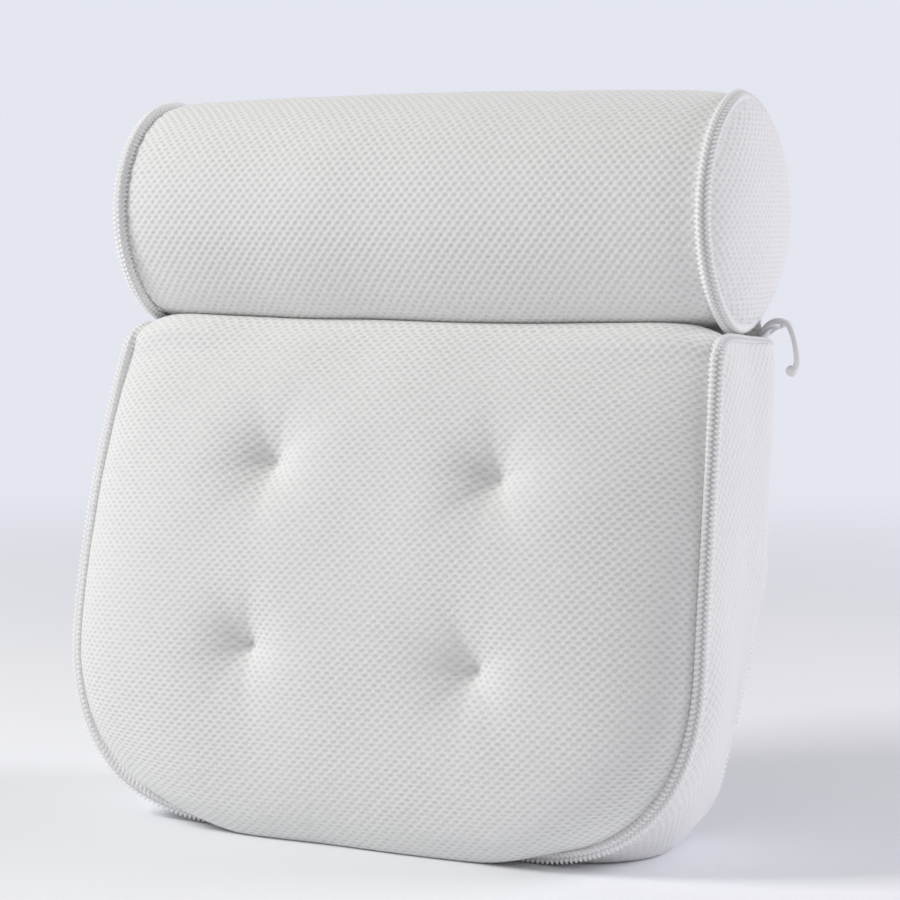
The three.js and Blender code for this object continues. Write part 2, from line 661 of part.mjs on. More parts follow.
const cushionLeaf = [
  [FOLD_Y + FOLD_EDGE, FOLD_Z - FOLD_SLIT],
  [FOLD_Y + WEB_CLOTH / 2, FOLD_Z - foldThick],
  [FOLD_Y + WEB_CLOTH / 2, FOLD_Z - foldThick - 1.2],
  [backSeamY(leafTop) + FIT + WEB_CLOTH, leafTop - WEB_CLOTH],
  [backSeamY(leafFoot) + FIT + WEB_CLOTH, leafFoot],
  [backSeamY(leafFoot) + FIT, leafFoot],
  [backSeamY(leafTop) + FIT, leafTop + 1],
  [FOLD_Y - WEB_CLOTH / 2, FOLD_Z - foldThick],
  [FOLD_Y - FOLD_EDGE, FOLD_Z - FOLD_SLIT],
];
add(cushion, 'fold_web_cushion_leaf', strip(cushionLeaf), MESH_WHITE);

// Suction cups: a flared dish, a neck and a head held in a domed seat on the cloth.
const plateUnder = SEAT_HEIGHT - SEAT_WALL;
const cupProfile = [
  [0, 0.6],
  [HEAD_RADIUS - 1.2, 0.6],
  [HEAD_RADIUS, 1.8],
  [HEAD_RADIUS, plateUnder - FIT - 1],
  [NECK_RADIUS + 0.4, plateUnder - FIT],
  [NECK_RADIUS, plateUnder - FIT],
  [NECK_RADIUS, SEAT_HEIGHT + 0.8],
  [NECK_RADIUS + 5, SEAT_HEIGHT + 3.2],
  [LIP_RADIUS - 6, CUP_HEIGHT - 4.2],
  [LIP_RADIUS, CUP_HEIGHT - 1],
  [LIP_RADIUS, CUP_HEIGHT],
  [LIP_RADIUS - 2, CUP_HEIGHT],
  [LIP_RADIUS - 12, CUP_HEIGHT - 3],
  [0, CUP_HEIGHT - 3.8],
];
const seatProfile = [
  [SEAT_CAVITY_RADIUS, FIT],
  [SEAT_RADIUS, FIT],
  [SEAT_RADIUS, 1.4],
  [SEAT_CAVITY_RADIUS + SEAT_WALL, SEAT_HEIGHT - 1],
  [SEAT_CAVITY_RADIUS + 0.5, SEAT_HEIGHT],
  [NECK_RADIUS + FIT, SEAT_HEIGHT],
  [NECK_RADIUS + FIT, plateUnder],
  [SEAT_CAVITY_RADIUS, plateUnder],
];

// Seats on the roll are hollowed underneath to sit on its round skin.
function placeCup(parent, name, place, hollow) {
  const holder = new THREE.Group();
  holder.name = `${name}_holder`;
  holder.position.set(...place);
  holder.rotation.x = -Math.PI / 2;
  parent.add(holder);
  let seat = turned(seatProfile, CUP_SIDES, true);
  if (hollow) {
    const tall = seatProfile.map(([r, h], k) => [r, k < 2 ? h - hollow.sink : h]);
    const drum = turned([[0, -60], [hollow.radius, -60], [hollow.radius, 60], [0, 60]], 96);
    drum.rotateY(Math.PI / 2);
    drum.translate(0, 0, -hollow.radius + FIT);
    seat = minus(turned(tall, CUP_SIDES, true), [drum]);
  }
  add(holder, `cup_seat_${name}`, seat, SEAT_WHITE);
  add(holder, `suction_cup_${name}`, turned(cupProfile, CUP_SIDES), CUP_CLEAR);
}

const upright = new THREE.Group();
upright.name = 'roll_cups';
upright.position.z = ROLL_AXIS_Z;
part.add(upright);
for (const [end, side] of [['left', -1], ['right', 1]]) {
  const skin = barrel(ROLL_CUP_X);
  placeCup(upright, `roll_${end}`, [side * ROLL_CUP_X, skin, 0], { radius: skin + 0.5, sink: 3 });
}
const backPlane = new THREE.Group();
backPlane.name = 'back_plane';
backPlane.position.y = BACK_FOOT_Y;
backPlane.rotation.x = -Math.atan(BACK_LEAN);
cushion.add(backPlane);
const slope = Math.hypot(1, BACK_LEAN);
for (const [level, z] of [['lower', BACK_CUP_LOW], ['upper', BACK_CUP_HIGH]]) {
  for (const [end, side] of [['left', -1], ['right', 1]]) {
    placeCup(backPlane, `${level}_${end}`, [side * BACK_CUP_X, 0, z * slope], null);
  }
}

// Hanging loop of cord beside the fold web, and the hook that hangs over it.
const barZ = HOOK_APEX_Z - HOOK_WIRE - FIT - LOOP_CORD;
const barX = HOOK_APEX_X + 0.2;
const loopPath = [];
for (const [x, dy, z] of [
  [LOOP_ROOT_X, -2.2, FOLD_Z - 1.6], [LOOP_ROOT_X + 2, -4, FOLD_Z + 0.2],
  [barX - 4.5, -LOOP_HALF_WIDTH, barZ - 1.2], [barX - 1.4, -LOOP_HALF_WIDTH + 0.4, barZ],
  [barX - 0.2, -LOOP_HALF_WIDTH + 2, barZ], [barX, -2, barZ],
]) loopPath.push([x, dy, z]);
const loopLine = [...loopPath, ...[...loopPath].reverse().map(([x, dy, z]) => [x, -dy, z])];
const loop = swept(loopLine.map(([x, dy, z]) => [x, HOOK_Y + dy, z]), LOOP_CORD, 6);
add(cushion, 'hang_loop', loop, THREAD_WHITE);

// The hook's line, as distances from its apex in wire radii.
const hookCurve = new THREE.CatmullRomCurve3([
  [-5.4, -3.67], [-4.8, -2], [-2.67, -0.4], [0, 0], [2.27, -1.2], [3.6, -4.8],
  [4.33, -8.8], [4.8, -12.8], [4.13, -15.07], [2.4, -15.33],
].map(([x, z]) => new THREE.Vector3(HOOK_APEX_X + x * HOOK_WIRE, HOOK_Y, HOOK_APEX_Z + z * HOOK_WIRE)));
const hookLine = hookCurve.getSpacedPoints(26).map((p) => [p.x, p.y, p.z]);
const ball = (p) => {
  const geometry = turned([0, 36, 72, 108, 144, 180].map((d) => (d * Math.PI) / 180).map((a) => [
    Math.abs(HOOK_BALL * Math.sin(a)) < 1e-9 ? 0 : HOOK_BALL * Math.sin(a), -HOOK_BALL * Math.cos(a),
  ]), 10);
  geometry.translate(...p);
  return geometry;
};
const hook = joined([swept(hookLine, HOOK_WIRE, 8), ball(hookLine[0]), ball(hookLine[26])]);
add(part, 'hang_hook', hook, HOOK_WHITE);

part.position.y = BODY_SHIFT_Y;

export default part;
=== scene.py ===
"""Bath pillow: a tufted box cushion of white air mesh with a head roll folded on top of it.

Shapes are worked out in millimetres about the roll's axis line and put into the row frame,
in metres, when a mesh is made.
"""

import json
import logging
import math
from dataclasses import dataclass, field
from enum import Enum
from typing import Optional, Sequence

import bpy
import numpy as np
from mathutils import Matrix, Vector

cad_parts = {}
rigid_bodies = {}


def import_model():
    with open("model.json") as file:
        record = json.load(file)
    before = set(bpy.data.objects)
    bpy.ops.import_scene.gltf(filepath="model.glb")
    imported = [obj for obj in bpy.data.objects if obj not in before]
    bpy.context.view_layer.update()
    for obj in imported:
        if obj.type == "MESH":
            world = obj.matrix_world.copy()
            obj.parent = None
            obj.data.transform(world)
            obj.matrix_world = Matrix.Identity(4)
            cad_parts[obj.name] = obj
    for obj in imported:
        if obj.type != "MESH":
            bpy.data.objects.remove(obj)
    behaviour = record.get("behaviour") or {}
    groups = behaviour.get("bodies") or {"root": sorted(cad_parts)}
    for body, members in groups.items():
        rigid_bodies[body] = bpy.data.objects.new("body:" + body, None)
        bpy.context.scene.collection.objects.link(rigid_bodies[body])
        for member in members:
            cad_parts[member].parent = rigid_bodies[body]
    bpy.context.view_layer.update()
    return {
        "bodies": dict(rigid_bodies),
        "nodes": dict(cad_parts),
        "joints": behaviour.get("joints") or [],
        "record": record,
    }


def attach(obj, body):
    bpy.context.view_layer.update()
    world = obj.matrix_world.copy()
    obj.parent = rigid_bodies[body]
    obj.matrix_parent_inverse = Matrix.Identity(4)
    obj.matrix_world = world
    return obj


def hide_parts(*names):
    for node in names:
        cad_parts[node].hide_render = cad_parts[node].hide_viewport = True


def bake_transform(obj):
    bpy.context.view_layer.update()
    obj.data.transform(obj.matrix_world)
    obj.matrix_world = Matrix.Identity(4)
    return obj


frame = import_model()

LOG = logging.getLogger("bath_pillow")
MM = 0.001
TAU = 2.0 * math.pi
# From the roll's axis line to the row frame, in millimetres along Y.
BODY_SHIFT = 16.3
# Thickness of the mesh cloth, and how tightly the two padded bodies are stuffed.
CLOTH_WALL = 2.6
CUSHION_FILL = 0.8
ROLL_FILL = 0.85
# Height of the roll's axis, and places of the cups on the back.
ROLL_AXIS = 288.8
CUP_X = 98.0
CUP_LEVELS = (70.0, 160.0)
# Welts: length of a loop, angle between two rows, radius that turns it into a distance,
# width as a share of the height, and steps round.
WELT_PITCH = 2.4
WELT_ROW = 1.36
WELT_ARM = 2.6
WELT_WIDE = 1.22
WELT_SIDES = 32
Array = np.ndarray
Table = Sequence[tuple[float, float]]


class Side(Enum):
    """The two mirrored sides of the pillow, seen from the front."""

    LEFT = -1
    RIGHT = 1


class Body(Enum):
    """The moving bodies that the pieces ride on."""

    CUSHION = "cushion"
    ROLL = "roll"
    HOOK = "hook"


class Slot(Enum):
    """The record's material slots."""

    MESH = "mesh_cloth"
    WELT = "welt_cloth"
    FILLING = "filling"
    THREAD = "thread"
    SEAT = "seat_cloth"
    VINYL = "cup_vinyl"
    PLASTIC = "hook_plastic"


def smooth_table(table: Table, at: Array) -> Array:
    """Reads a table as a smooth curve that never overshoots its values.

    Cubic Hermite pieces, with each knot's slope the harmonic mean of the slopes beside it.

    Args:
        table: Pairs of position and value, rising in position.
        at: Positions to read.

    Returns:
        The values there, held constant beyond the table's ends.
    """
    knots, values = np.asarray(table, float).T
    step = np.diff(knots)
    rise = np.diff(values) / step
    before, after = rise[:-1], rise[1:]
    same = before * after > 0
    mean = 2 * before * after / np.where(same, before + after, 1.0)
    slope = np.concatenate([rise[:1], np.where(same, mean, 0.0), rise[-1:]])
    at = np.clip(at, knots[0], knots[-1])
    i = np.clip(np.searchsorted(knots, at) - 1, 0, len(step) - 1)
    h = step[i]
    t = (at - knots[i]) / h
    keep = 2 * t**3 - 3 * t**2 + 1
    lean = (t**3 - 2 * t**2 + t) * h * slope[i]
    lean_next = (t**3 - t**2) * h * slope[i + 1]
    return keep * values[i] + lean + (1 - keep) * values[i + 1] + lean_next


def smoothstep(low: float, high: float, at: Array) -> Array:
    """Rises from 0 at low to 1 at high with level ends."""
    t = np.clip((at - low) / (high - low), 0.0, 1.0)
    return t * t * (3 - 2 * t)


def ripple(a: Array, b: Array, length: float, seed: float) -> Array:
    """Soft unevenness of about unit height: five crossed sine waves.

    Args:
        a: First surface coordinate, in millimetres.
        b: Second surface coordinate, in millimetres.
        length: Typical distance between two humps, in millimetres.
        seed: Phase that sets one piece apart from another.

    Returns:
        A height at each point, from about -1 to 1.
    """
    turn = np.array([0.3, 1.5, 2.6, 3.9, 5.2])
    scale = np.array([1.0, 0.83, 1.27, 0.71, 1.13])
    phase = seed * np.array([1.0, 2.3, 3.1, 4.7, 5.9])
    along = np.multiply.outer(a, np.cos(turn)) + np.multiply.outer(b, np.sin(turn))
    return np.sin(along * TAU * scale / length + phase).sum(axis=-1) / 3.0


def run_length(points: Array, axis: int) -> Array:
    """Distance walked along one axis of a grid of points, from its first point.

    Args:
        points: Grid of points, with x, y and z last.
        axis: The grid axis to walk along.

    Returns:
        The running distance at each point of the grid.
    """
    steps = np.linalg.norm(np.diff(points, axis=axis), axis=-1)
    start = np.zeros([1 if k == axis else n for k, n in enumerate(steps.shape)])
    return np.concatenate([start, np.cumsum(steps, axis=axis)], axis=axis)


def curve_through(points: Array, count: int) -> Array:
    """A smooth line through points, at even distances.

    Catmull-Rom pieces through the points, walked off into equal steps.

    Args:
        points: Points that the line passes.
        count: Number of points to give back.

    Returns:
        The points of the line.
    """
    points = np.asarray(points, float)
    ends = np.concatenate([[2 * points[0] - points[1]], points, [2 * points[-1] - points[-2]]])
    f = np.linspace(0, len(points) - 1, 40 * len(points))
    i = np.minimum(f.astype(int), len(points) - 2)
    t = (f - i)[:, None]
    p0, p1, p2, p3 = ends[i], ends[i + 1], ends[i + 2], ends[i + 3]
    bend = (2 * p0 - 5 * p1 + 4 * p2 - p3) * t**2 + (3 * p1 - p0 - 3 * p2 + p3) * t**3
    line = 0.5 * (2 * p1 + (p2 - p0) * t + bend)
    walked = run_length(line, 0)
    even = np.linspace(0, walked[-1], count)
    return np.stack([np.interp(even, walked, line[:, k]) for k in range(3)], axis=-1)


def softened(profile: Array, rounds: int = 2) -> Array:
    """Rounds the corners of an open outline, by cutting each at a quarter of its sides.

    Args:
        profile: Points of the outline.
        rounds: How often the corners are cut.

    Returns:
        The rounder outline, with both ends kept.
    """
    for _ in range(rounds):
        near = 0.75 * profile[:-1] + 0.25 * profile[1:]
        far = 0.25 * profile[:-1] + 0.75 * profile[1:]
        cut = np.stack([near, far], axis=1).reshape(-1, profile.shape[1])
        profile = np.concatenate([profile[:1], cut[1:-1], profile[-1:]])
    return profile


def eased(values: Array, reach: int) -> Array:
    """Takes the kinks out of a row of numbers by a running mean that keeps both ends.

    Args:
        values: Evenly spaced numbers.
        reach: Steps taken in on each side.

    Returns:
        The eased numbers.
    """
    padded = np.pad(values, reach, mode="reflect", reflect_type="odd")
    return np.convolve(padded, np.ones(2 * reach + 1) / (2 * reach + 1), "valid")


def grid_faces(rows: int, columns: int, wrap_rows: bool = False, wrap_columns: bool = False) -> Array:
    """The four-sided faces of a grid of points.

    Args:
        rows: Number of rows.
        columns: Number of columns.
        wrap_rows: True if the last row joins the first.
        wrap_columns: True if the last column joins the first.

    Returns:
        Point numbers of each face.
    """
    i = np.arange(rows if wrap_rows else rows - 1)[:, None]
    j = np.arange(columns if wrap_columns else columns - 1)[None, :]
    n, m = (i + 1) % rows, (j + 1) % columns
    corners = [i * columns + j, n * columns + j, n * columns + m, i * columns + m]
    return np.stack([np.broadcast_to(c, (i.size, j.size)) for c in corners], -1).reshape(-1, 4)


@dataclass
class Form:
    """A surface before it becomes a mesh: points in millimetres, faces, and cloth places.

    Attributes:
        points: One row of x, y and z for each point.
        faces: Lists of point numbers.
        cloth: Places on the cloth in millimetres, two for each point, or None.
    """

    points: Array
    faces: list[list[int]]
    cloth: Optional[Array] = None

    @staticmethod
    def from_grid(grid: Array, cloth: Optional[Array] = None, **wrap: bool) -> "Form":
        """A surface from a grid of points.

        Args:
            grid: Points in rows and columns.
            cloth: Places on the cloth in the same rows and columns.
            **wrap: wrap_rows or wrap_columns, as for grid_faces.

        Returns:
            The surface.
        """
        rows, columns = grid.shape[:2]
        places = None if cloth is None else cloth.reshape(-1, 2)
        return Form(grid.reshape(-1, 3), grid_faces(rows, columns, **wrap).tolist(), places)

    @staticmethod
    def tube(rings: Array, cloth: Optional[Array] = None) -> "Form":
        """A closed body from rings of points, with a fan over each end.

        Args:
            rings: Points, ring by ring.
            cloth: Places on the cloth in the same order.

        Returns:
            The body.
        """
        count, sides = rings.shape[:2]
        made = Form.from_grid(rings, cloth, wrap_columns=True)
        ends = np.stack([rings[0].mean(axis=0), rings[-1].mean(axis=0)])
        k = np.arange(sides)
        n = (k + 1) % sides
        last = (count - 1) * sides
        first_fan = np.stack([np.full(sides, count * sides), k, n], -1)
        last_fan = np.stack([np.full(sides, count * sides + 1), last + n, last + k], -1)
        made.points = np.concatenate([made.points, ends])
        made.faces += first_fan.tolist() + last_fan.tolist()
        if made.cloth is not None:
            made.cloth = np.concatenate([made.cloth, made.cloth[:1], made.cloth[-1:]])
        return made

    def facing_out(self) -> "Form":
        """Turns the faces round if most of them look towards the middle.

        Returns:
            The same surface, with its faces pointing outwards.
        """
        lengths = np.array([len(f) for f in self.faces])
        picks = np.array([[f[0], f[1], f[2], f[-1]] for f in self.faces])
        a, b, c, d = (self.points[picks[:, k]] for k in range(4))
        normal = np.cross(b - a, c - a) + np.where((lengths == 4)[:, None], np.cross(c - a, d - a), 0)
        centre = (self.points.min(axis=0) + self.points.max(axis=0)) / 2
        if np.sum(normal * ((a + c) / 2 - centre)) < 0:
            self.faces = [f[::-1] for f in self.faces]
        return self

    def facing(self, way: Sequence[float]) -> "Form":
        """Turns the faces round if the first of them looks away from a direction.

        Args:
            way: The direction.

        Returns:
            The same surface, with its first face looking along it.
        """
        a, b, c = self.points[self.faces[0][:3]]
        if np.dot(np.cross(b - a, c - a), way) < 0:
            self.faces = [f[::-1] for f in self.faces]
        return self


def lathe(profile: Array, sides: int, closed: bool = False) -> Form:
    """A body turned about its own Z axis.

    Args:
        profile: Pairs of radius and height. An open profile starts and ends on the axis.
        sides: Number of steps round.
        closed: True if the profile is a ring that keeps off the axis.

    Returns:
        The body, with its faces out.
    """
    angle = np.linspace(0, TAU, sides, endpoint=False)
    body = profile if closed else profile[1:-1]
    r, h = body[:, 0][:, None], body[:, 1][:, None]
    rings = np.stack([r * np.cos(angle), r * np.sin(angle), h + 0 * angle], axis=-1)
    around = np.broadcast_to(angle * 10.0, r.shape[:1] + angle.shape)
    along = np.broadcast_to(run_length(body, 0)[:, None], around.shape)
    cloth = np.stack([around, along], axis=-1)
    if closed:
        return Form.from_grid(rings, cloth, wrap_rows=True, wrap_columns=True).facing_out()
    made = Form.tube(rings, cloth)
    made.points[-2:] = [[0, 0, profile[0, 1]], [0, 0, profile[-1, 1]]]
    return made.facing_out()


def along_path(path: Array, out: Array, radius: Array, squeeze: float = 1.0) -> Array:
    """Carries a ring along a path.

    Args:
        path: Points of the path.
        out: A direction for each point that the ring's angle 0 looks to.
        radius: Ring radius for each point of the path and each angle round it.
        squeeze: Width of the ring across the out direction, as a share of its height.

    Returns:
        Rings of points.
    """
    tangent = np.gradient(path, axis=0)
    tangent /= np.linalg.norm(tangent, axis=1, keepdims=True)
    up = out - np.sum(out * tangent, axis=1, keepdims=True) * tangent
    up /= np.linalg.norm(up, axis=1, keepdims=True)
    side = np.cross(tangent, up)
    angle = ring_angles(radius.shape[1])
    high = (radius * np.cos(angle))[..., None] * up[:, None, :]
    wide = (radius * np.sin(angle) * squeeze)[..., None] * side[:, None, :]
    return path[:, None, :] + high + wide


def spread(values: Array, places: Array, count: int) -> Array:
    """Fills in the rows between known rows.

    Args:
        values: The known rows, along the first axis.
        places: Their numbers, from 0 to count - 1.
        count: Number of rows wanted.

    Returns:
        Every row, in straight steps between the known ones.
    """
    at = np.arange(count)
    upper = np.clip(np.searchsorted(places, at), 1, len(places) - 1)
    share = (at - places[upper - 1]) / (places[upper] - places[upper - 1])
    share = share.reshape((-1,) + (1,) * (values.ndim - 1))
    return values[upper - 1] * (1 - share) + values[upper] * share


@dataclass(frozen=True)
class ClothRun:
    """A short cloth simulation that lets a sewn surface settle under its filling's push.

    Attributes:
        pressure: Push of the filling outwards.
        cap: Greatest distance that a point may move, in millimetres.
        frames: Number of frames stepped.
        step: Grid lines taken together in the simulated copy.
    """

    pressure: float = 4.0
    cap: float = 2.5
    frames: int = 20
    step: int = 3

    def simulate(self, form: Form, held: Array) -> Array:
        """Runs Blender's cloth on a surface, without gravity.

        Args:
            form: The surface.
            held: How fast each point is sewn, from 0 to 1.

        Returns:
            Where its points end.
        """
        scene = bpy.context.scene
        mesh = bpy.data.meshes.new("settling")
        mesh.from_pydata((form.points * MM).tolist(), [], form.faces)
        sheet = bpy.data.objects.new("settling", mesh)
        scene.collection.objects.link(sheet)
        group = sheet.vertex_groups.new(name="held")
        fast = np.round(held, 1)
        for weight in np.unique(fast):
            group.add(np.flatnonzero(fast == weight).tolist(), float(weight), "REPLACE")
        cloth = sheet.modifiers.new("cloth", "CLOTH")
        settings = cloth.settings
        settings.quality = 5
        settings.mass = 0.25
        settings.tension_stiffness = settings.compression_stiffness = 16.0
        settings.shear_stiffness = 6.0
        settings.bending_stiffness = 0.5
        settings.use_pressure = True
        settings.uniform_pressure_force = self.pressure
        settings.vertex_group_mass = group.name
        settings.effector_weights.gravity = 0.0
        cloth.collision_settings.use_collision = False
        cloth.point_cache.frame_start = 1
        cloth.point_cache.frame_end = self.frames
        for frame in range(1, self.frames + 1):
            scene.frame_set(frame)
        seen = sheet.evaluated_get(bpy.context.evaluated_depsgraph_get())
        moved = np.empty(3 * len(form.points))
        seen.data.vertices.foreach_get("co", moved)
        bpy.data.objects.remove(sheet)
        bpy.data.meshes.remove(mesh)
        scene.frame_set(1)
        return moved.reshape(-1, 3) / MM

    def settle(self, grid: Array, held: Array) -> Array:
        """Settles a coarser copy of a grid surface and carries its movement over to the grid.

        Args:
            grid: Points by row and column.
            held: How fast each point is sewn, from 0 to 1.

        Returns:
            The settled grid.
        """
        rows, columns = (np.unique(np.append(np.arange(0, n, self.step), n - 1)) for n in grid.shape[:2])
        start = grid[np.ix_(rows, columns)]
        sewn = np.broadcast_to(held, grid.shape[:2])
        end = self.simulate(Form.from_grid(start).facing_out(), sewn[np.ix_(rows, columns)].ravel())
        shift = end.reshape(start.shape) - start
        far = np.linalg.norm(shift, axis=-1, keepdims=True)
        shift = shift * np.minimum(1.0, self.cap / np.maximum(far, 1e-6))
        LOG.info("cloth moved %.2f mm on average, %.2f mm at most", far.mean(), far.max())
        shift = spread(spread(shift, rows, grid.shape[0]).swapaxes(0, 1), columns, grid.shape[1]).swapaxes(0, 1)
        for _ in range(3):
            shift[1:-1] = (shift[:-2] + 2 * shift[1:-1] + shift[2:]) / 4
            shift[:, 1:-1] = (shift[:, :-2] + 2 * shift[:, 1:-1] + shift[:, 2:]) / 4
        return grid + shift * (1.0 - sewn[..., None])


class Nodes:
    """A short way to wire a material's nodes."""

    def __init__(self, name: str, roughness: float) -> None:
        """Starts a material with one Principled shader.

        Args:
            name: The material's name.
            roughness: Roughness set on the shader.
        """
        self.material = bpy.data.materials.new(name)
        self.material.use_nodes = True
        self.tree = self.material.node_tree
        self.shader = self.tree.nodes["Principled BSDF"]
        self.shader.inputs["Roughness"].default_value = roughness

    def add(self, kind: str, inputs: dict, **settings: object) -> bpy.types.Node:
        """Adds a node.

        Args:
            kind: Blender's name of the node type.
            inputs: Socket name or number to a value or to another node's output.
            **settings: Properties of the node.

        Returns:
            The new node.
        """
        node = self.tree.nodes.new(kind)
        for key, value in settings.items():
            setattr(node, key, value)
        for key, value in inputs.items():
            if isinstance(value, bpy.types.NodeSocket):
                self.tree.links.new(value, node.inputs[key])
            else:
                node.inputs[key].default_value = value
        return node

    def math(self, operation: str, a: object, b: object = 0.0) -> bpy.types.NodeSocket:
        """One step of arithmetic on two values or sockets."""
        return self.add("ShaderNodeMath", {0: a, 1: b}, operation=operation).outputs[0]

    def times(self, a: object, b: object) -> bpy.types.NodeSocket:
        """Product of two values or sockets."""
        return self.math("MULTIPLY", a, b)

    def plus(self, a: object, b: object) -> bpy.types.NodeSocket:
        """Sum of two values or sockets."""
        return self.math("ADD", a, b)

    def cosine(self, angle: bpy.types.NodeSocket) -> bpy.types.NodeSocket:
        """Cosine of an angle in radians."""
        return self.math("COSINE", angle)

    def noise(self, vector: bpy.types.NodeSocket, scale: float, detail: float = 3.0) -> bpy.types.NodeSocket:
        """A noise value from 0 to 1 at a number of cells to the metre."""
        return self.add("ShaderNodeTexNoise", {"Vector": vector, "Scale": scale, "Detail": detail}).outputs["Fac"]

    def span(self, value: bpy.types.NodeSocket, start: Sequence[float], end: Sequence[float]) -> bpy.types.NodeSocket:
        """Carries a value from one range to another, with soft ends."""
        sockets = {"Value": value, "From Min": start[0], "From Max": start[1], "To Min": end[0], "To Max": end[1]}
        return self.add("ShaderNodeMapRange", sockets, interpolation_type="SMOOTHSTEP").outputs["Result"]

    def blend(self, factor: bpy.types.NodeSocket, a: Sequence[float], b: Sequence[float]) -> bpy.types.NodeSocket:
        """Mixes two colours by a factor."""
        return self.add("ShaderNodeMix", {0: factor, 6: (*a, 1.0), 7: (*b, 1.0)}, data_type="RGBA").outputs[2]

    def bump(self, height: bpy.types.NodeSocket, depth: float, strength: float = 1.0) -> None:
        """Raises the shader's surface by a height from 0 to 1, of a depth in metres."""
        node = self.add("ShaderNodeBump", {"Height": height, "Distance": depth, "Strength": strength})
        self.feed("Normal", node.outputs[0])

    def feed(self, socket: str, value: bpy.types.NodeSocket) -> None:
        """Links an output to a socket of the shader."""
        self.tree.links.new(value, self.shader.inputs[socket])

    def fix(self, **values: object) -> None:
        """Sets sockets of the shader to plain values, with _ in a name for a space."""
        for socket, value in values.items():
            self.shader.inputs[socket.replace("_", " ")].default_value = value

    @property
    def place(self) -> bpy.types.NodeSocket:
        """Object coordinates, in metres."""
        return self.add("ShaderNodeTexCoord", {}).outputs["Object"]

    @property
    def cloth(self) -> bpy.types.NodeSocket:
        """Places on the cloth, in metres, from the piece's own map."""
        return self.add("ShaderNodeUVMap", {}, uv_map="cloth").outputs[0]


@dataclass(frozen=True)
class AirMesh:
    """White spacer mesh: rows of small oval holes, each row half a step along from the next.

    Attributes:
        name: Name of the material.
        across: Distance between holes in a row, in metres.
        rows: Distance between every other row, in metres.
        tilt: Slope of the rows on the cloth.
        twill: Share of the second diagonal, 0.5 where both diagonals are alike.
        stripe: How much the holes stretch along the row.
        yarn: Colour of the knitted face.
        hole: Colour seen in the holes.
        rim: Where on the knit's wave a hole starts, and where it is darkest.
    """

    name: str = "air_mesh"
    across: float = 0.00475
    rows: float = 0.0044
    tilt: float = -0.02
    twill: float = 0.56
    stripe: float = 0.5
    yarn: tuple[float, float, float] = (0.89, 0.89, 0.882)
    hole: tuple[float, float, float] = (0.685, 0.685, 0.677)
    rim: tuple[float, float] = (-0.2, 0.95)

    def material(self) -> bpy.types.Material:
        """Builds the finish.

        The holes are where (1 - a) cos(u + v) + a cos(u - v) + b cos(2 v) is high, with a the
        twill, b the stripe, and u and v angles along and across the knit, bent by noise.

        Returns:
            The material.
        """
        n = Nodes(self.name, 0.92)
        split = n.add("ShaderNodeSeparateXYZ", {0: n.cloth})
        wander = n.times(n.math("SUBTRACT", n.noise(n.cloth, 130.0), 0.5), 1.1)
        sway = n.times(n.math("SUBTRACT", n.noise(n.place, 95.0), 0.5), 0.9)
        sloped = n.plus(split.outputs[1], n.times(split.outputs[0], self.tilt))
        u = n.plus(n.times(split.outputs[0], TAU / self.across), wander)
        v = n.plus(n.times(sloped, TAU / self.rows), sway)
        one = n.times(n.cosine(n.plus(u, v)), 1.0 - self.twill)
        other = n.times(n.cosine(n.math("SUBTRACT", u, v)), self.twill)
        depth = n.plus(n.plus(one, other), n.times(n.cosine(n.times(v, 2.0)), self.stripe))
        pit = n.span(depth, self.rim, (0.0, 1.0))
        fibre = n.noise(n.place, 2600.0, 2.0)
        uneven = n.plus(n.times(fibre, 0.55), n.times(n.noise(n.place, 420.0), 0.45))
        open_knit = n.span(n.noise(n.place, 22.0, 2.0), (0.35, 0.65), (0.8, 1.1))
        shade = n.times(n.times(pit, open_knit), n.span(uneven, (0.35, 0.65), (0.45, 1.0)))
        n.feed("Base Color", n.blend(shade, self.yarn, self.hole))
        n.feed("Roughness", n.span(fibre, (0.2, 0.8), (0.78, 0.96)))
        knit = n.span(depth, (-1.0, 1.3), (1.0, 0.0))
        n.bump(n.plus(knit, n.times(fibre, 0.2)), 0.0006, 0.7)
        n.fix(Sheen_Weight=0.12, Sheen_Roughness=0.6, Specular_IOR_Level=0.3)
        n.fix(Subsurface_Weight=0.3, Subsurface_Radius=(1.0, 0.97, 0.92), Subsurface_Scale=0.006)
        return n.material


@dataclass(frozen=True)
class Yarn:
    """Fuzzy twisted yarn or soft fibre, for the sewing thread, the fillings and the seats.

    Attributes:
        name: Name of the material.
        light: Colour of the lit strands.
        dark: Colour between the strands.
        strand: Strands to the metre.
        depth: Depth of the strands, in metres.
    """

    name: str
    light: tuple[float, float, float]
    dark: tuple[float, float, float]
    strand: float
    depth: float

    def material(self) -> bpy.types.Material:
        """Builds the finish: stretched noise along the yarn, darker between the strands.

        Returns:
            The material.
        """
        n = Nodes(self.name, 0.88)
        stretch = n.add("ShaderNodeMapping", {"Vector": n.cloth, "Scale": (0.35, 1.0, 1.0)}).outputs[0]
        strands = n.noise(stretch, self.strand, 3.0)
        fuzz = n.noise(n.place, self.strand * 2.3, 2.0)
        mix = n.plus(n.times(strands, 0.7), n.times(fuzz, 0.3))
        n.feed("Base Color", n.blend(n.span(mix, (0.32, 0.62), (0.0, 1.0)), self.dark, self.light))
        n.feed("Roughness", n.span(fuzz, (0.2, 0.8), (0.8, 0.97)))
        n.bump(mix, self.depth, 0.8)
        n.fix(Sheen_Weight=0.15, Specular_IOR_Level=0.25)
        return n.material


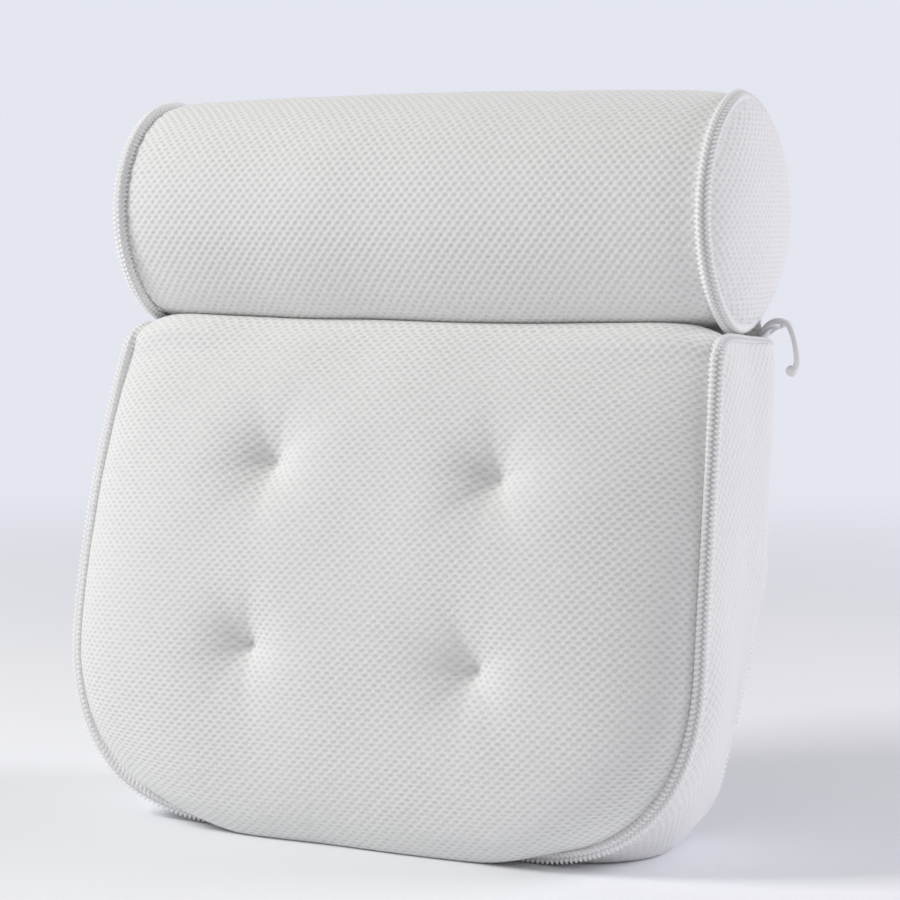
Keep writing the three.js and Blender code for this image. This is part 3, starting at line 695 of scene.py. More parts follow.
@dataclass(frozen=True)
class WeltBraid:
    """Knitted welt: light rows of loops, with painted shade darkening the chained groove between them and the gaps
    between the loops.

    Attributes:
        name: Name of the material.
        light: Colour of the loops.
        dark: Colour of the painted shade in the groove and between the loops.
        pitch: Length of one loop, in metres.
        row: Distance round the welt between two grooves, in metres.
    """

    name: str = "welt_braid"
    light: tuple[float, float, float] = (0.97, 0.97, 0.97)
    dark: tuple[float, float, float] = (0.60, 0.60, 0.615)
    pitch: float = WELT_PITCH * MM
    row: float = WELT_ROW * WELT_ARM * MM

    def material(self) -> bpy.types.Material:
        """Builds the finish.

        The painted shade swings from side to side with the loops, darkens the gaps between them and is deepest in the
        middle groove.

        Returns:
            The material.
        """
        n = Nodes(self.name, 0.88)
        split = n.add("ShaderNodeSeparateXYZ", {0: n.cloth})
        row = n.plus(n.math("FLOOR", n.math("DIVIDE", split.outputs[1], self.row)), 0.5)
        loops = n.times(split.outputs[0], TAU / self.pitch)
        beat = n.cosine(n.plus(loops, n.times(row, math.pi)))
        swung = n.plus(split.outputs[1], n.times(n.cosine(loops), 0.14 * self.row))
        across = n.cosine(n.times(swung, TAU / self.row))
        # Painted shade: the grooves between the rows and the gaps between the loops are painted darker, less so on
        # the outer grooves.
        groove = n.span(across, (0.15, 0.95), (0.0, 1.0))
        gap = n.span(beat, (-1.0, 0.0), (0.4, 0.0))
        fuzz = n.noise(n.place, 2600.0, 3.0)
        middle = n.span(n.math("ABSOLUTE", split.outputs[1]), (0.4 * self.row, 0.7 * self.row), (0.8, 0.15))
        shade = n.times(n.math("MAXIMUM", groove, gap), middle)
        # Painted shade of the grooves and gaps, plus a faint random darkening from the fibre noise.
        painted_shade_and_fuzz = n.plus(shade, n.span(fuzz, (0.35, 0.75), (0.1, 0.0)))
        n.feed("Base Color", n.blend(painted_shade_and_fuzz, self.light, self.dark))
        n.feed("Roughness", n.span(fuzz, (0.2, 0.8), (0.8, 0.97)))
        n.bump(fuzz, 0.0003, 0.7)
        n.fix(Sheen_Weight=0.15, Specular_IOR_Level=0.25)
        return n.material


@dataclass(frozen=True)
class Moulded:
    """Moulded plastic with a faint grain and handling marks.

    Attributes:
        name: Name of the material.
        colour: Main colour.
        tint: Colour of the thicker or worn places.
        roughness: Lowest and highest roughness.
        clear: Share of light that passes through.
    """

    name: str
    colour: tuple[float, float, float]
    tint: tuple[float, float, float]
    roughness: tuple[float, float]
    clear: float = 0.0

    def material(self) -> bpy.types.Material:
        """Builds the finish: slow colour change, fine grain and uneven gloss.

        Returns:
            The material.
        """
        n = Nodes(self.name, self.roughness[0])
        slow = n.noise(n.place, 60.0, 2.0)
        grain = n.noise(n.place, 1400.0, 2.0)
        n.feed("Base Color", n.blend(n.span(slow, (0.35, 0.65), (0.0, 1.0)), self.colour, self.tint))
        n.feed("Roughness", n.span(n.noise(n.place, 240.0, 4.0), (0.3, 0.7), self.roughness))
        n.bump(grain, 0.00008, 0.5)
        n.fix(Transmission_Weight=self.clear, IOR=1.5)
        return n.material


class Finishes:
    """The pillow's materials, made once."""

    def __init__(self) -> None:
        """Builds every finish."""
        self.mesh = AirMesh().material()
        small = (0.0, 1.2)
        ends = AirMesh("air_mesh_end", 0.0042, 0.0046, 0.0, hole=(0.76, 0.76, 0.77), rim=small)
        roll = AirMesh("air_mesh_roll", 0.0045, 0.0051, 0.0, 0.45, 0.3, hole=(0.655, 0.655, 0.647), rim=small)
        self.end_mesh, self.roll_mesh = ends.material(), roll.material()
        self.band_mesh = AirMesh("air_mesh_band", twill=0.32, stripe=0.25, hole=(0.80, 0.80, 0.81)).material()
        self.welt = WeltBraid().material()
        self.thread = Yarn("sewing_thread", (0.86, 0.86, 0.88), (0.6, 0.6, 0.63), 2200.0, 0.0002).material()
        self.fill = Yarn("fibre_filling", (0.90, 0.89, 0.86), (0.72, 0.71, 0.68), 420.0, 0.0012).material()
        self.seat = Yarn("seat_tape", (0.84, 0.845, 0.86), (0.58, 0.59, 0.62), 1500.0, 0.0002).material()
        self.vinyl = Moulded("clear_vinyl", (0.90, 0.94, 0.96), (0.82, 0.88, 0.92), (0.06, 0.2), 0.85).material()
        self.plastic = Moulded("white_plastic", (0.90, 0.90, 0.91), (0.85, 0.85, 0.87), (0.22, 0.38)).material()


class Piece:
    """Puts a form into the scene as a named piece."""

    @staticmethod
    def make(
        name: str, form: Form, material: bpy.types.Material, body: Optional[str], slot: Slot,
        nodes: Sequence[str], wall: float = 0.0, fill: Optional[float] = None,
    ) -> bpy.types.Object:
        """Makes the mesh, dresses it and fastens it to its body.

        Args:
            name: The piece's name.
            form: Its surface.
            material: Its finish.
            body: The body that it rides on, or None to leave it unattached.
            slot: The record's material slot; not used.
            nodes: The solids that it stands for.
            wall: Thickness in millimetres given to the surface on its inner side.
            fill: How tightly it is stuffed, or None if it isn't padded; not used.

        Returns:
            The new object.
        """
        mesh = bpy.data.meshes.new(name)
        points = (form.points + [0.0, BODY_SHIFT, 0.0]) * MM
        mesh.from_pydata(points.tolist(), [], form.faces)
        mesh.polygons.foreach_set("use_smooth", np.ones(len(mesh.polygons), bool))
        if form.cloth is not None:
            corner = np.empty(len(mesh.loops), np.int32)
            mesh.loops.foreach_get("vertex_index", corner)
            layer = mesh.uv_layers.new(name="cloth")
            layer.data.foreach_set("uv", (form.cloth[corner] * MM).ravel())
        mesh.update()
        mesh.validate()
        mesh.materials.append(material)
        piece = bpy.data.objects.new(name, mesh)
        bpy.context.scene.collection.objects.link(piece)
        if wall:
            thick = piece.modifiers.new("wall", "SOLIDIFY")
            thick.thickness = wall * MM
            thick.offset = -1.0
            thick.use_rim = True
        if body is not None:
            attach(piece, body)
        if nodes:
            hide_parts(*nodes)
        LOG.info("%s: %d points for %s", name, len(form.points), ", ".join(nodes) or "no solid")
        return piece

    @staticmethod
    def sewn(
        name: str, form: Form, material: bpy.types.Material, body: Body, node: str, fill: float,
    ) -> bpy.types.Object:
        """Makes a padded piece of mesh cloth.

        Args:
            name: The piece's name.
            form: Its outer surface.
            material: Its finish.
            body: The body that it rides on.
            node: The solid that it stands for.
            fill: How tightly it is stuffed.

        Returns:
            The new object.
        """
        return Piece.make(name, form, material, body.value, Slot.MESH, [node], CLOTH_WALL, fill)


@dataclass(frozen=True)
class CushionOutline:
    """The cushion's outline and side profile, in millimetres.

    Attributes:
        half_width: Half of the width low down.
        top_taper: How much narrower each side is at the shoulder.
        taper_start: Height where the sides start to draw in.
        shoulder: Height of the shoulder.
        corner: Height and width of the bottom corners.
        fullness: Power of the corners' curve, 2 for a circle and more for a squarer corner.
        foot: Height of the seam at the foot.
        inset: How far the cloth's edge lies inside the seam line.
        seam_depth: How far the front seam stands before the roll's axis low down.
        seam_setback: How much further back the front seam is at the shoulder.
        undercut: How far the front seam turns back at the foot.
        undercut_height: Height where that starts.
        back_foot: Depth of the back plane at the foot.
        back_lean: Its slope.
        back_draw: How much narrower each side of the back is at the foot.
        back_draw_height: Height where that starts.
        back_corner: Radius of the back's bottom corners.
    """

    half_width: float = 160.5
    top_taper: float = 7.2
    taper_start: float = 66.0
    shoulder: float = 226.0
    corner: float = 92.0
    fullness: float = 2.5
    foot: float = 3.8
    inset: float = 3.4
    seam_depth: float = 84.0
    seam_setback: float = 42.4
    undercut: float = 7.0
    undercut_height: float = 24.0
    back_foot: float = 10.0
    back_lean: float = 0.07
    back_draw: float = 23.2
    back_draw_height: float = 129.0
    back_corner: float = 24.0

    @property
    def centre(self) -> float:
        """Height of the bottom corners' centres."""
        return self.foot + self.corner

    def width_at(self, z: Array) -> Array:
        """Half-width at a height, before the corners are rounded."""
        rise = np.maximum(0.0, z - self.taper_start) / (self.shoulder - self.taper_start)
        return self.half_width - self.top_taper * rise**2

    def edge(self, z: Array, inset: float) -> tuple[Array, Array, Array, Array]:
        """The right-hand outline, drawn in by an inset.

        Args:
            z: Heights on the outline.
            inset: Distance drawn in.

        Returns:
            x and z of the points, and x and z of the directions pointing outwards there.
        """
        drop = np.clip((self.centre - z) / self.corner, 0.0, 1.0)
        across = (1.0 - drop**self.fullness) ** (1.0 / self.fullness)
        out_x, out_z = across ** (self.fullness - 1.0), drop ** (self.fullness - 1.0)
        size = np.hypot(out_x, out_z)
        low = z < self.centre
        out_x, out_z = np.where(low, out_x / size, 1.0), np.where(low, -out_z / size, 0.0)
        x = self.width_at(z) - np.where(low, self.corner * (1.0 - across), 0.0)
        return x - inset * out_x, z - inset * out_z, out_x, out_z

    def front_seam(self, z: Array) -> Array:
        """Depth of the front seam at a height."""
        tuck = np.maximum(0.0, 1.0 - z / self.undercut_height)
        return -self.seam_depth + self.seam_setback * (z / self.shoulder) ** 2 + self.undercut * tuck**2

    def back_seam(self, z: Array) -> Array:
        """Depth of the back plane at a height."""
        return self.back_foot + self.back_lean * z

    def back_width(self, z: Array) -> Array:
        """Half-width of the back outline: level high up, then drawn in towards the foot."""
        low = np.maximum(0.0, 1.0 - z / self.back_draw_height)
        return self.half_width - self.top_taper - self.back_draw * low**1.5

    def back_edge(self, z: Array, inset: float) -> tuple[Array, Array, Array, Array]:
        """The back outline's points that face the front outline's points.

        Below the front corner's centre both lines are walked in equal shares.

        Args:
            z: Heights on the front outline.
            inset: Distance drawn in.

        Returns:
            x and z of the points, and x and z of the directions pointing outwards there.
        """
        lower = self.foot + self.back_corner
        side = np.linspace(self.centre, lower, 200, endpoint=False)
        turn = np.linspace(0, math.pi / 2, 120)
        reach = self.back_corner - inset
        corner_x = self.back_width(np.array(lower)) - self.back_corner + reach * np.cos(turn)
        line_x = np.concatenate([self.back_width(side) - inset, corner_x])
        line_z = np.concatenate([side, lower - reach * np.sin(turn)])
        walked = run_length(np.stack([line_x, line_z], axis=-1), 0)
        even = np.linspace(0, walked[-1], 300)
        line_x, line_z = eased(np.interp(even, walked, line_x), 24), eased(np.interp(even, walked, line_z), 24)
        walked = run_length(np.stack([line_x, line_z], axis=-1), 0)
        slope_x, slope_z = np.gradient(line_x, walked), np.gradient(line_z, walked)
        drop = np.clip((self.centre - z) / self.corner, 0.0, 1.0)
        way = walked[-1] * (1.0 - np.arccos(drop) / (math.pi / 2))
        low = z < self.centre
        x = np.where(low, np.interp(way, walked, line_x), self.back_width(z) - inset)
        height = np.where(low, np.interp(way, walked, line_z), z)
        out_x = np.where(low, -np.interp(way, walked, slope_z), 1.0)
        return x, height, out_x, np.where(low, np.interp(way, walked, slope_x), 0.0)


@dataclass
class Cushion:
    """The tufted box cushion: front panel, side band, back panel, welts, ties and filling.

    Attributes:
        shape: Outline and side profile.
        tuft_share: Place of the tufts across, as a share of the half-width.
        tuft_levels: Their heights.
        tuft_depth: How deep they are drawn in.
        tuft_reach: Radius of the wide bowl round a tuft.
        tuft_pinch: Radius of the narrow funnel in it.
        tuft_drift: How far each tuft is off its place, across and up.
        edge_power: Power of the crown's fall to the seams.
        edge_round: Second power of that fall.
        corner_flat: What is added to it in the low rows.
        shoulder_lift: Fullness under the roll's ends.
        side_bulge: How far the band stands out.
        corner_fill: Fullness of the band's bottom corners.
        back_fill: Fullness of the band near the back seam.
        tuck: How far the cloths' edges go into the seam.
        welt_out: How far the welt's core stands out of the seam.
        welt_radius: Its radius.
        rows: Rows of the front panel in the corners, up the sides and over the top.
        cloth_run: The simulation that the cloths settle in.
        half_columns: Columns of the front panel on each side of its middle.
        crown: Row position and height of the crown.
        lean: Row position and direction of the crown, in degrees above level.
        top: Depth, height, crown and lean of the profile over the top.
        band_top: Depth and height of the band's upper edge.
        over: Depth and height of the front welt over the top corners.
    """

    shape: CushionOutline = field(default_factory=CushionOutline)
    tuft_share: float = 0.375
    tuft_levels: tuple[float, float] = (88.0, 170.8)
    tuft_depth: float = 17.5
    tuft_reach: float = 21.0
    tuft_pinch: float = 8.2
    tuft_drift: tuple[tuple[float, float], ...] = ((2.5, 0.0), (2.0, -1.0), (0.0, -3.0), (2.0, -4.0))
    edge_power: float = 5.0
    edge_round: float = 0.58
    corner_flat: float = 0.22
    shoulder_lift: float = 3.0
    side_bulge: float = 4.2
    corner_fill: float = 8.0
    back_fill: float = 3.0
    tuck: float = 0.8
    welt_out: float = 1.3
    welt_radius: float = 3.6
    rows: tuple[int, int, int] = (72, 98, 46)
    cloth_run: ClothRun = field(default_factory=ClothRun)
    half_columns: int = 114
    crown: Table = (
        (3.8, 0), (7, 13.9), (13, 17.5), (23, 21.5), (37, 24.5), (54, 26), (104, 26.5), (138, 25),
        (170, 21.5), (201, 15.2), (215, 10.6), (226, 7.0),
    )
    lean: Table = (
        (3.8, -60), (7, -48), (13, -34), (23, -20), (37, -8), (54, 0), (104, 8), (155, 13),
        (186, 18), (201, 24), (215, 36), (226, 52),
    )
    top: Sequence[tuple[float, float, float, float]] = (
        (-36.5, 230.6, 4.6, 72), (-28, 232.2, 4.8, 84), (-15, 231.0, 2.2, 90), (0, 229.4, 2.5, 90),
        (17, 229.0, 1.8, 90), (22.6, 228.4, 0, 90),
    )
    band_top: Table = ((-41, 226), (-36.5, 230.2), (-28, 232), (-15, 231), (0, 229.6), (27, 228.4))
    over: Table = ((-36.5, 231.0), (-28, 232.4), (-15, 231.6), (0, 230.3), (17, 229.4), (26, 228.6))

    def levels(self, share: float = 1.0) -> Array:
        """Row positions up the front and over the top, evenly along the outline.

        Args:
            share: Part of the full number of rows.

        Returns:
            Heights up to the shoulder, then the shoulder height plus the way walked over the top.
        """
        low, straight, top = (max(6, int(n * share)) for n in self.rows)
        turn = np.linspace(0, math.pi / 2, low, endpoint=False)
        corner = self.shape.centre - self.shape.corner * np.cos(turn)
        rise = np.linspace(self.shape.centre, self.shape.shoulder, straight, endpoint=False)
        over = np.linspace(self.shape.shoulder, self.top_knots[-1], top)
        return np.concatenate([corner, rise, over])

    @property
    def top_knots(self) -> Array:
        """Row positions of the shoulder and of the profile's points over the top.

        Returns:
            The positions, from the shoulder on.
        """
        s = self.shape.shoulder
        line = np.array([[float(self.shape.front_seam(np.array(s))), s]] + [[t[0], t[1]] for t in self.top])
        return s + run_length(line, 0)

    def profile(self, level: Array) -> tuple[Array, Array, Array, Array]:
        """Side profile of the front seam, and how the cloth stands off it.

        Args:
            level: Row positions.

        Returns:
            Depth and height of the seam, the crown's height and its lean in radians.
        """
        s = self.shape.shoulder
        knots = self.top_knots
        front = np.array([z for z, _ in self.crown if z < s])
        depth = [(z, float(self.shape.front_seam(np.array(z)))) for z in np.linspace(3.8, s, 40)]
        depth += [(k, t[0]) for k, t in zip(knots[1:], self.top)]
        height = [(z, z) for z in front] + [(s, s)] + [(k, t[1]) for k, t in zip(knots[1:], self.top)]
        crown = list(self.crown) + [(k, t[2]) for k, t in zip(knots[1:], self.top)]
        lean = list(self.lean) + [(k, t[3]) for k, t in zip(knots[1:], self.top)]
        y, z = smooth_table(depth, level), smooth_table(height, level)
        return y, z, smooth_table(crown, level), np.radians(smooth_table(lean, level))

    def tuft_offsets(self, x: Array, z: Array, edge: Array) -> list[tuple[Array, Array]]:
        """Distances across and up from each of the four tufts.

        Args:
            x: Places across.
            z: Heights.
            edge: Half-width of the cloth at those heights.

        Returns:
            A pair of distances for each tuft.
        """
        tufts = zip([(s.value, t) for s in Side for t in self.tuft_levels], self.tuft_drift)
        return [(x - s * self.tuft_share * edge - drift[0], z - t - drift[1]) for (s, t), drift in tufts]

    def tuft_dip(self, x: Array, z: Array, edge: Array) -> Array:
        """How deep the four sewn tufts draw the front in.

        Each is a round bowl plus a narrow funnel, with small folds that run out from it.

        Args:
            x: Places across.
            z: Heights.
            edge: Half-width of the cloth at those heights.

        Returns:
            Depths in millimetres.
        """
        dip = np.zeros_like(x)
        for k, (dx, dz) in enumerate(self.tuft_offsets(x, z, edge)):
            r = np.hypot(np.hypot(dx, dz), 1.8)
            angle = np.arctan2(dz, dx)
            bowl = 0.34 * np.exp(-((r / self.tuft_reach) ** 2)) + 0.66 * np.exp(-((r / self.tuft_pinch) ** 1.15))
            ring = (r / 12.0) * np.exp(1.0 - r / 12.0)
            folds = 0.2 * np.cos(5 * angle + 1.7 * k) + 0.16 * np.cos(9 * angle + 0.9 * k)
            dip += self.tuft_depth * bowl + folds * ring
        return dip

    def front_points(self, level: Array, u: Array, sunk: float, fine: bool) -> tuple[Array, Array]:
        """The front panel's surface.

        A row is the seam's profile pushed out along its lean by crown times (1 - |u|^p)^q, less
        the tufts' dips, with p the edge power and q the edge round, flatter in the low corners.

        Args:
            level: Row positions.
            u: Places across, from -1 at the left seam to 1 at the right seam.
            sunk: Distance below the outside.
            fine: True to add puckers at the seam and soft unevenness.

        Returns:
            The points, and their places on the cloth.
        """
        y, z, crown, lean = (a[:, None] for a in self.profile(level))
        lean = lean * np.where(lean < 0, 1.0 - 0.95 * np.abs(u) ** 3, 1.0)
        on_front = np.minimum(level, self.shape.shoulder)[:, None]
        edge_level = np.where(level[:, None] <= self.shape.shoulder, on_front, z)
        edge_x, edge_z, _, _ = self.shape.edge(edge_level, self.tuck)
        x = edge_x * u
        power = self.edge_power + 6.0 * smoothstep(218, 232, level)[:, None]
        flat = self.edge_round + self.corner_flat * (1.0 - smoothstep(20, 75, level)[:, None])
        fall = np.maximum(0.0, 1.0 - np.abs(u) ** power) ** flat
        front = 1.0 - smoothstep(self.shape.shoulder - 6, self.shape.shoulder + 8, level)[:, None]
        over = smoothstep(216, 229, level) * (1.0 - smoothstep(240, 256, level))
        lift = self.shoulder_lift * smoothstep(0.45, 0.9, np.abs(u)) * (1.0 - np.abs(u) ** 14) * over[:, None]
        stand = crown * fall + lift - sunk - self.tuft_dip(x, z, edge_x) * fall * front
        if fine:
            way = level[:, None] + 0 * u
            near = np.exp(-(1.0 - np.abs(u)) * edge_x / 9.0) * fall
            stand += 0.9 * near * ripple(x * 0.2, way, 19.0, 2.0) * front
            stand += 0.7 * fall * ripple(x, way, 74.0, 1.0) * front
        base = np.where(level[:, None] <= self.shape.shoulder, edge_z, z)
        points = np.stack([x, y - stand * np.cos(lean), np.maximum(sunk, base + stand * np.sin(lean))], -1)
        plain = np.stack([x, y - crown * fall * np.cos(lean), base + crown * fall * np.sin(lean)], -1)
        walked = run_length(plain, 1)
        middle = walked.shape[1] // 2
        along = walked - walked[:, middle : middle + 1]
        up = run_length(plain[:, middle, :], 0)[:, None] + 0 * along
        return points, np.stack([along, up], axis=-1)

    def columns(self, half: int) -> Array:
        """Places across from -1 to 1, closer together at the seams."""
        right = 1.0 - (1.0 - np.linspace(0, 1, half)) ** 1.4
        return np.concatenate([-right[:0:-1], right])

    def front_panel(self, finishes: Finishes) -> None:
        """Builds the tufted front panel, which wraps over the top to the fold.

        The formula's surface settles as cloth, sewn at its seams and tufts, and is then laid against
        the roll.

        Args:
            finishes: The materials.
        """
        level, u = self.levels(), self.columns(self.half_columns)
        grid, cloth = self.front_points(level, u, 0.0, True)
        edge = np.max(grid[..., 0], axis=1, keepdims=True)
        held = np.maximum(smoothstep(0.985, 1.0, np.abs(u))[None, :], smoothstep(212, 228, level)[:, None])
        held = np.maximum(held, 1.0 - smoothstep(4.0, 12.0, level)[:, None])
        for dx, dz in self.tuft_offsets(grid[..., 0], grid[..., 2], edge):
            held = np.maximum(held, np.exp(-((np.hypot(dx, dz) / 4.0) ** 2)))
        grid = HeadRoll().lay_against(self.cloth_run.settle(grid, held))
        form = Form.from_grid(grid, cloth).facing_out()
        Piece.sewn("front_panel", form, finishes.mesh, Body.CUSHION, "cushion_front_panel", CUSHION_FILL)

    def perimeter(self, straight: int, corner: int, bottom: int, back: bool) -> tuple[Array, ...]:
        """A seam line from the left shoulder down, along the foot and up to the right shoulder.

        Args:
            straight: Points on each upright side.
            corner: Points on each rounded corner.
            bottom: Points along the foot.
            back: True for the back seam, False for the front seam.

        Returns:
            Row height, x, z, outward x and outward z, and the swell of the band there.
        """
        turn = np.linspace(math.pi / 2, 0, corner)
        upright = np.linspace(self.shape.shoulder, self.shape.centre, straight, endpoint=False)
        level = np.concatenate([upright, self.shape.centre - self.shape.corner * np.cos(turn)])
        x, z, mx, mz = (self.shape.back_edge if back else self.shape.edge)(level, 0.0)
        swell = 1 - 0.6 * smoothstep(214, 226, level) + 0.35 * (1 - smoothstep(3.8, 8, level))
        foot = x[-1] * np.linspace(-1, 1, bottom)[1:-1]
        flat = np.ones_like(foot)
        parts = [
            (level, flat * level[-1], level[::-1]), (-x, foot, x[::-1]), (z, flat * z[-1], z[::-1]),
            (-mx, 0 * foot, mx[::-1]), (mz, -flat, mz[::-1]), (swell, 1.35 * flat, swell[::-1]),
        ]
        return tuple(np.concatenate(p) for p in parts)

    def side_band(self, finishes: Finishes) -> None:
        """Builds the band round the sides and foot, from the front outline to the back one.

        Across its width it bulges by 1 - |2 v - 1|^4, more at the bottom corners, and it lies
        flat on the floor.

        Args:
            finishes: The materials.
        """
        level, x, z, mx, mz, swell = (a[:, None] for a in self.perimeter(90, 96, 70, False))
        _, back_x, back_z, back_mx, back_mz, _ = (a[:, None] for a in self.perimeter(90, 96, 70, True))
        v = (0.5 - 0.5 * np.cos(np.linspace(0, math.pi, 64)))[None, :]
        front = self.shape.front_seam(level) + self.tuck
        y = front + (self.shape.back_seam(back_z) - self.tuck - front) * v
        share = 1 - (1 - v) ** 2.2
        round_out = 1 - np.abs(2 * v - 1) ** 4
        way = run_length(np.concatenate([x, 0 * x, z], axis=1), 0)[:, None] + 0 * v
        pucker = ripple(way, 0.15 * y, 17.0, 3.0) * (np.exp(-v * 9) + np.exp(-(1 - v) * 9))
        bulge = self.side_bulge * round_out * swell + (0.5 * pucker + 0.5 * ripple(way, y, 66.0, 4.0)) * round_out
        low = 1 - smoothstep(60, 135, level)
        bulge += self.corner_fill * low * (1 - np.abs(2 * v - 1) ** 3) * (1 - 0.9 * smoothstep(0.35, 0.9, v))
        turned = np.sqrt(1 - np.clip((v - 0.9) / 0.1, 0, 1) ** 2)
        bulge += self.back_fill * (1 - low) * smoothstep(0.45, 0.85, v) * turned - 2.2 * smoothstep(0.93, 1.0, v)
        drawn = smoothstep(196, 226, level) * (smooth_table(self.band_top, y) - self.shape.shoulder)
        wide = x + (back_x - x) * share + (mx + (back_mx - mx) * share) * bulge
        high = z + (back_z - z) * share + (mz + (back_mz - mz) * share) * bulge + drawn
        grid = np.stack([wide, y, np.maximum(0.0, high)], axis=-1)
        held = np.maximum(smoothstep(210, 226, level), 1.0 - smoothstep(0.5, 6.0, grid[..., 2]))
        held = np.maximum(held, np.where((v < 0.02) | (v > 0.97), 1.0, 0.0))
        grid = self.cloth_run.settle(grid, held)
        grid[..., 2] = np.maximum(0.0, grid[..., 2])
        down = run_length(grid, 0)
        along = np.minimum(down, down[-1:] - down)
        form = Form.from_grid(grid, np.stack([along, y + 0 * way], axis=-1)).facing_out()
        Piece.sewn("side_band", form, finishes.band_mesh, Body.CUSHION, "cushion_side_band", CUSHION_FILL)

    def back_panel(self, finishes: Finishes) -> None:
        """Builds the back panel, softly crowned between the ties, the cups and the seam.

        It stands off the back plane by a height that falls as a bell curve towards each tie and cup,
        and a short hem folds over its top.

        Args:
            finishes: The materials.
        """
        turn = np.linspace(0, math.pi / 2, 40, endpoint=False)
        rise = np.linspace(self.shape.centre, self.shape.shoulder, 60)
        level = np.concatenate([self.shape.centre - self.shape.corner * np.cos(turn), rise])[:, None]
        u = self.columns(62)[None, :]
        edge_x, edge_z, _, _ = self.shape.back_edge(level, self.shape.inset)
        x, z = edge_x * u, edge_z + 0 * u
        held = np.minimum(1.0, (1 - np.abs(u) ** 6) * smoothstep(7, 26, z) * (1 - smoothstep(204, 224, z)))
        for side in Side:
            for height in CUP_LEVELS:
                held = held * (1 - np.exp(-((np.hypot(x - side.value * CUP_X, z - height) / 24.0) ** 4)))
            for height in self.tuft_levels:
                r = np.hypot(x - side.value * self.tuft_share * edge_x, z - height)
                held = held * (1 - np.exp(-((r / 13.0) ** 2)))
        stand = held * (3.4 + 0.5 * ripple(x, z, 70.0, 5.0))
        grid = np.stack([x, self.shape.back_seam(z) + stand, z], axis=-1)
        hem = np.array([(25.2, 227.4), (24.0, 228.3), (22.4, 228.6), (20.0, 228.2)])
        over = np.stack(np.broadcast_arrays(x[-1:], hem[:, :1], hem[:, 1:]), axis=-1)
        grid = np.concatenate([self.cloth_run.settle(grid, 1.0 - held), over])
        up = run_length(grid[:, u.shape[1] // 2], 0)[:, None]
        cloth = np.stack(np.broadcast_arrays(grid[..., 0], up), axis=-1)
        form = Form.from_grid(grid, cloth).facing((0.0, 1.0, 0.0))
        Piece.sewn("back_panel", form, finishes.mesh, Body.CUSHION, "cushion_back_panel", CUSHION_FILL)

    def welt(self, finishes: Finishes, front: bool) -> None:
        """Builds one welt: a wide tube with beaded rows of loops and a groove along its outward side.

        Args:
            finishes: The materials.
            front: True for the front seam, which turns back over the top corners.
        """
        level, x, z, mx, mz, _ = self.perimeter(90, 96, 40, not front)
        thick = np.ones_like(level)
        if front:
            y = self.shape.front_seam(level)
            towards = np.stack([0.5 * mx, 0 * mx - 1.0, 0.5 * mz], axis=-1)
            over = np.array(self.over)[::-1]
            side_x = self.shape.width_at(over[:, 1])
            left = np.stack([-side_x, over[:, 0], over[:, 1]], axis=-1)
            right = np.stack([side_x, over[:, 0], over[:, 1]], axis=-1)[::-1]
            seam = np.stack([x + 0.26 * mx, y, z + 0.26 * mz], axis=-1) + self.welt_out * towards
            path = np.concatenate([left, seam, right])
            lift = np.array([0.0, 0.0, 0.75])
            out_left = np.broadcast_to([-1.0, 0.0, 0.0] + lift, left.shape)
            out_right = np.broadcast_to([1.0, 0.0, 0.0] + lift, right.shape)
            towards = np.concatenate([out_left, towards, out_right])
            thin = np.linspace(0.55, 0.85, len(over))
            thick = np.concatenate([thin, thick, thin[::-1]])
        else:
            keep = level <= self.shape.shoulder + 1.0
            path = np.stack([x - 2.2 * mx, self.shape.back_seam(z) + 0.8, z - 2.2 * mz], axis=-1)[keep]
            towards = np.stack([0.5 * mx, 0 * mx + 1.0, 0.5 * mz], axis=-1)[keep]
            thick = 0.72 * thick[keep]
        walked = run_length(path, 0)
        even = np.linspace(0, walked[-1], int(walked[-1] / 0.42))
        line = np.stack([np.interp(even, walked, path[:, k]) for k in range(3)], axis=-1)
        line = np.stack([eased(line[:, k], 9) for k in range(3)], axis=-1)
        out = np.stack([np.interp(even, walked, towards[:, k]) for k in range(3)], axis=-1)
        radius = braided(even, self.welt_radius) * np.interp(even, walked, thick)[:, None]
        rings = along_path(line, out, radius, WELT_WIDE)
        rings[..., 2] = np.maximum(rings[..., 2], 0.2)
        form = Form.tube(rings, welt_places(even)).facing_out()
        name = "front_welt" if front else "back_welt"
        Piece.make(name, form, finishes.welt, Body.CUSHION.value, Slot.WELT, [f"cushion_{name}"])

    def ties(self, finishes: Finishes) -> None:
        """Builds the four sewn ties: a thread through the cushion with a wound knot at each face.

        Each is a rounded profile turned about the line through the tuft.

        Args:
            finishes: The materials.
        """
        for k, (side, level) in enumerate([(s, t) for s in Side for t in self.tuft_levels]):
            name = "lower" if level == self.tuft_levels[0] else "upper"
            level = level + self.tuft_drift[k][1]
            edge, _, _, _ = self.shape.edge(np.array([level]), self.tuck)
            u = side.value * self.tuft_share + self.tuft_drift[k][0] / float(edge[0])
            place, _ = self.front_points(np.array([level]), np.array([u - 0.02, u, u + 0.02]), 0.0, False)
            x, y, z = place[0, 1]
            back = float(self.shape.back_seam(z)) + 0.3
            front = y + 1.7
            profile = np.array([
                (0, front - 1.6), (1.5, front - 1.5), (2.2, front - 0.8), (1.9, front), (1.1, front + 0.6),
                (1.1, back - 0.5), (1.9, back), (2.2, back + 0.8), (1.5, back + 1.6), (0, back + 1.7),
            ])
            turned = lathe(softened(profile, 2), 28)
            points = turned.points[:, [0, 2, 1]] * [1.0, 1.0, -1.0]
            form = Form(points + [x, 0.0, z], turned.faces, turned.cloth).facing_out()
            tie = f"tie_{name}_{side.name.lower()}"
            Piece.make(tie, form, finishes.thread, Body.CUSHION.value, Slot.THREAD, [f"tuft_{tie}"])

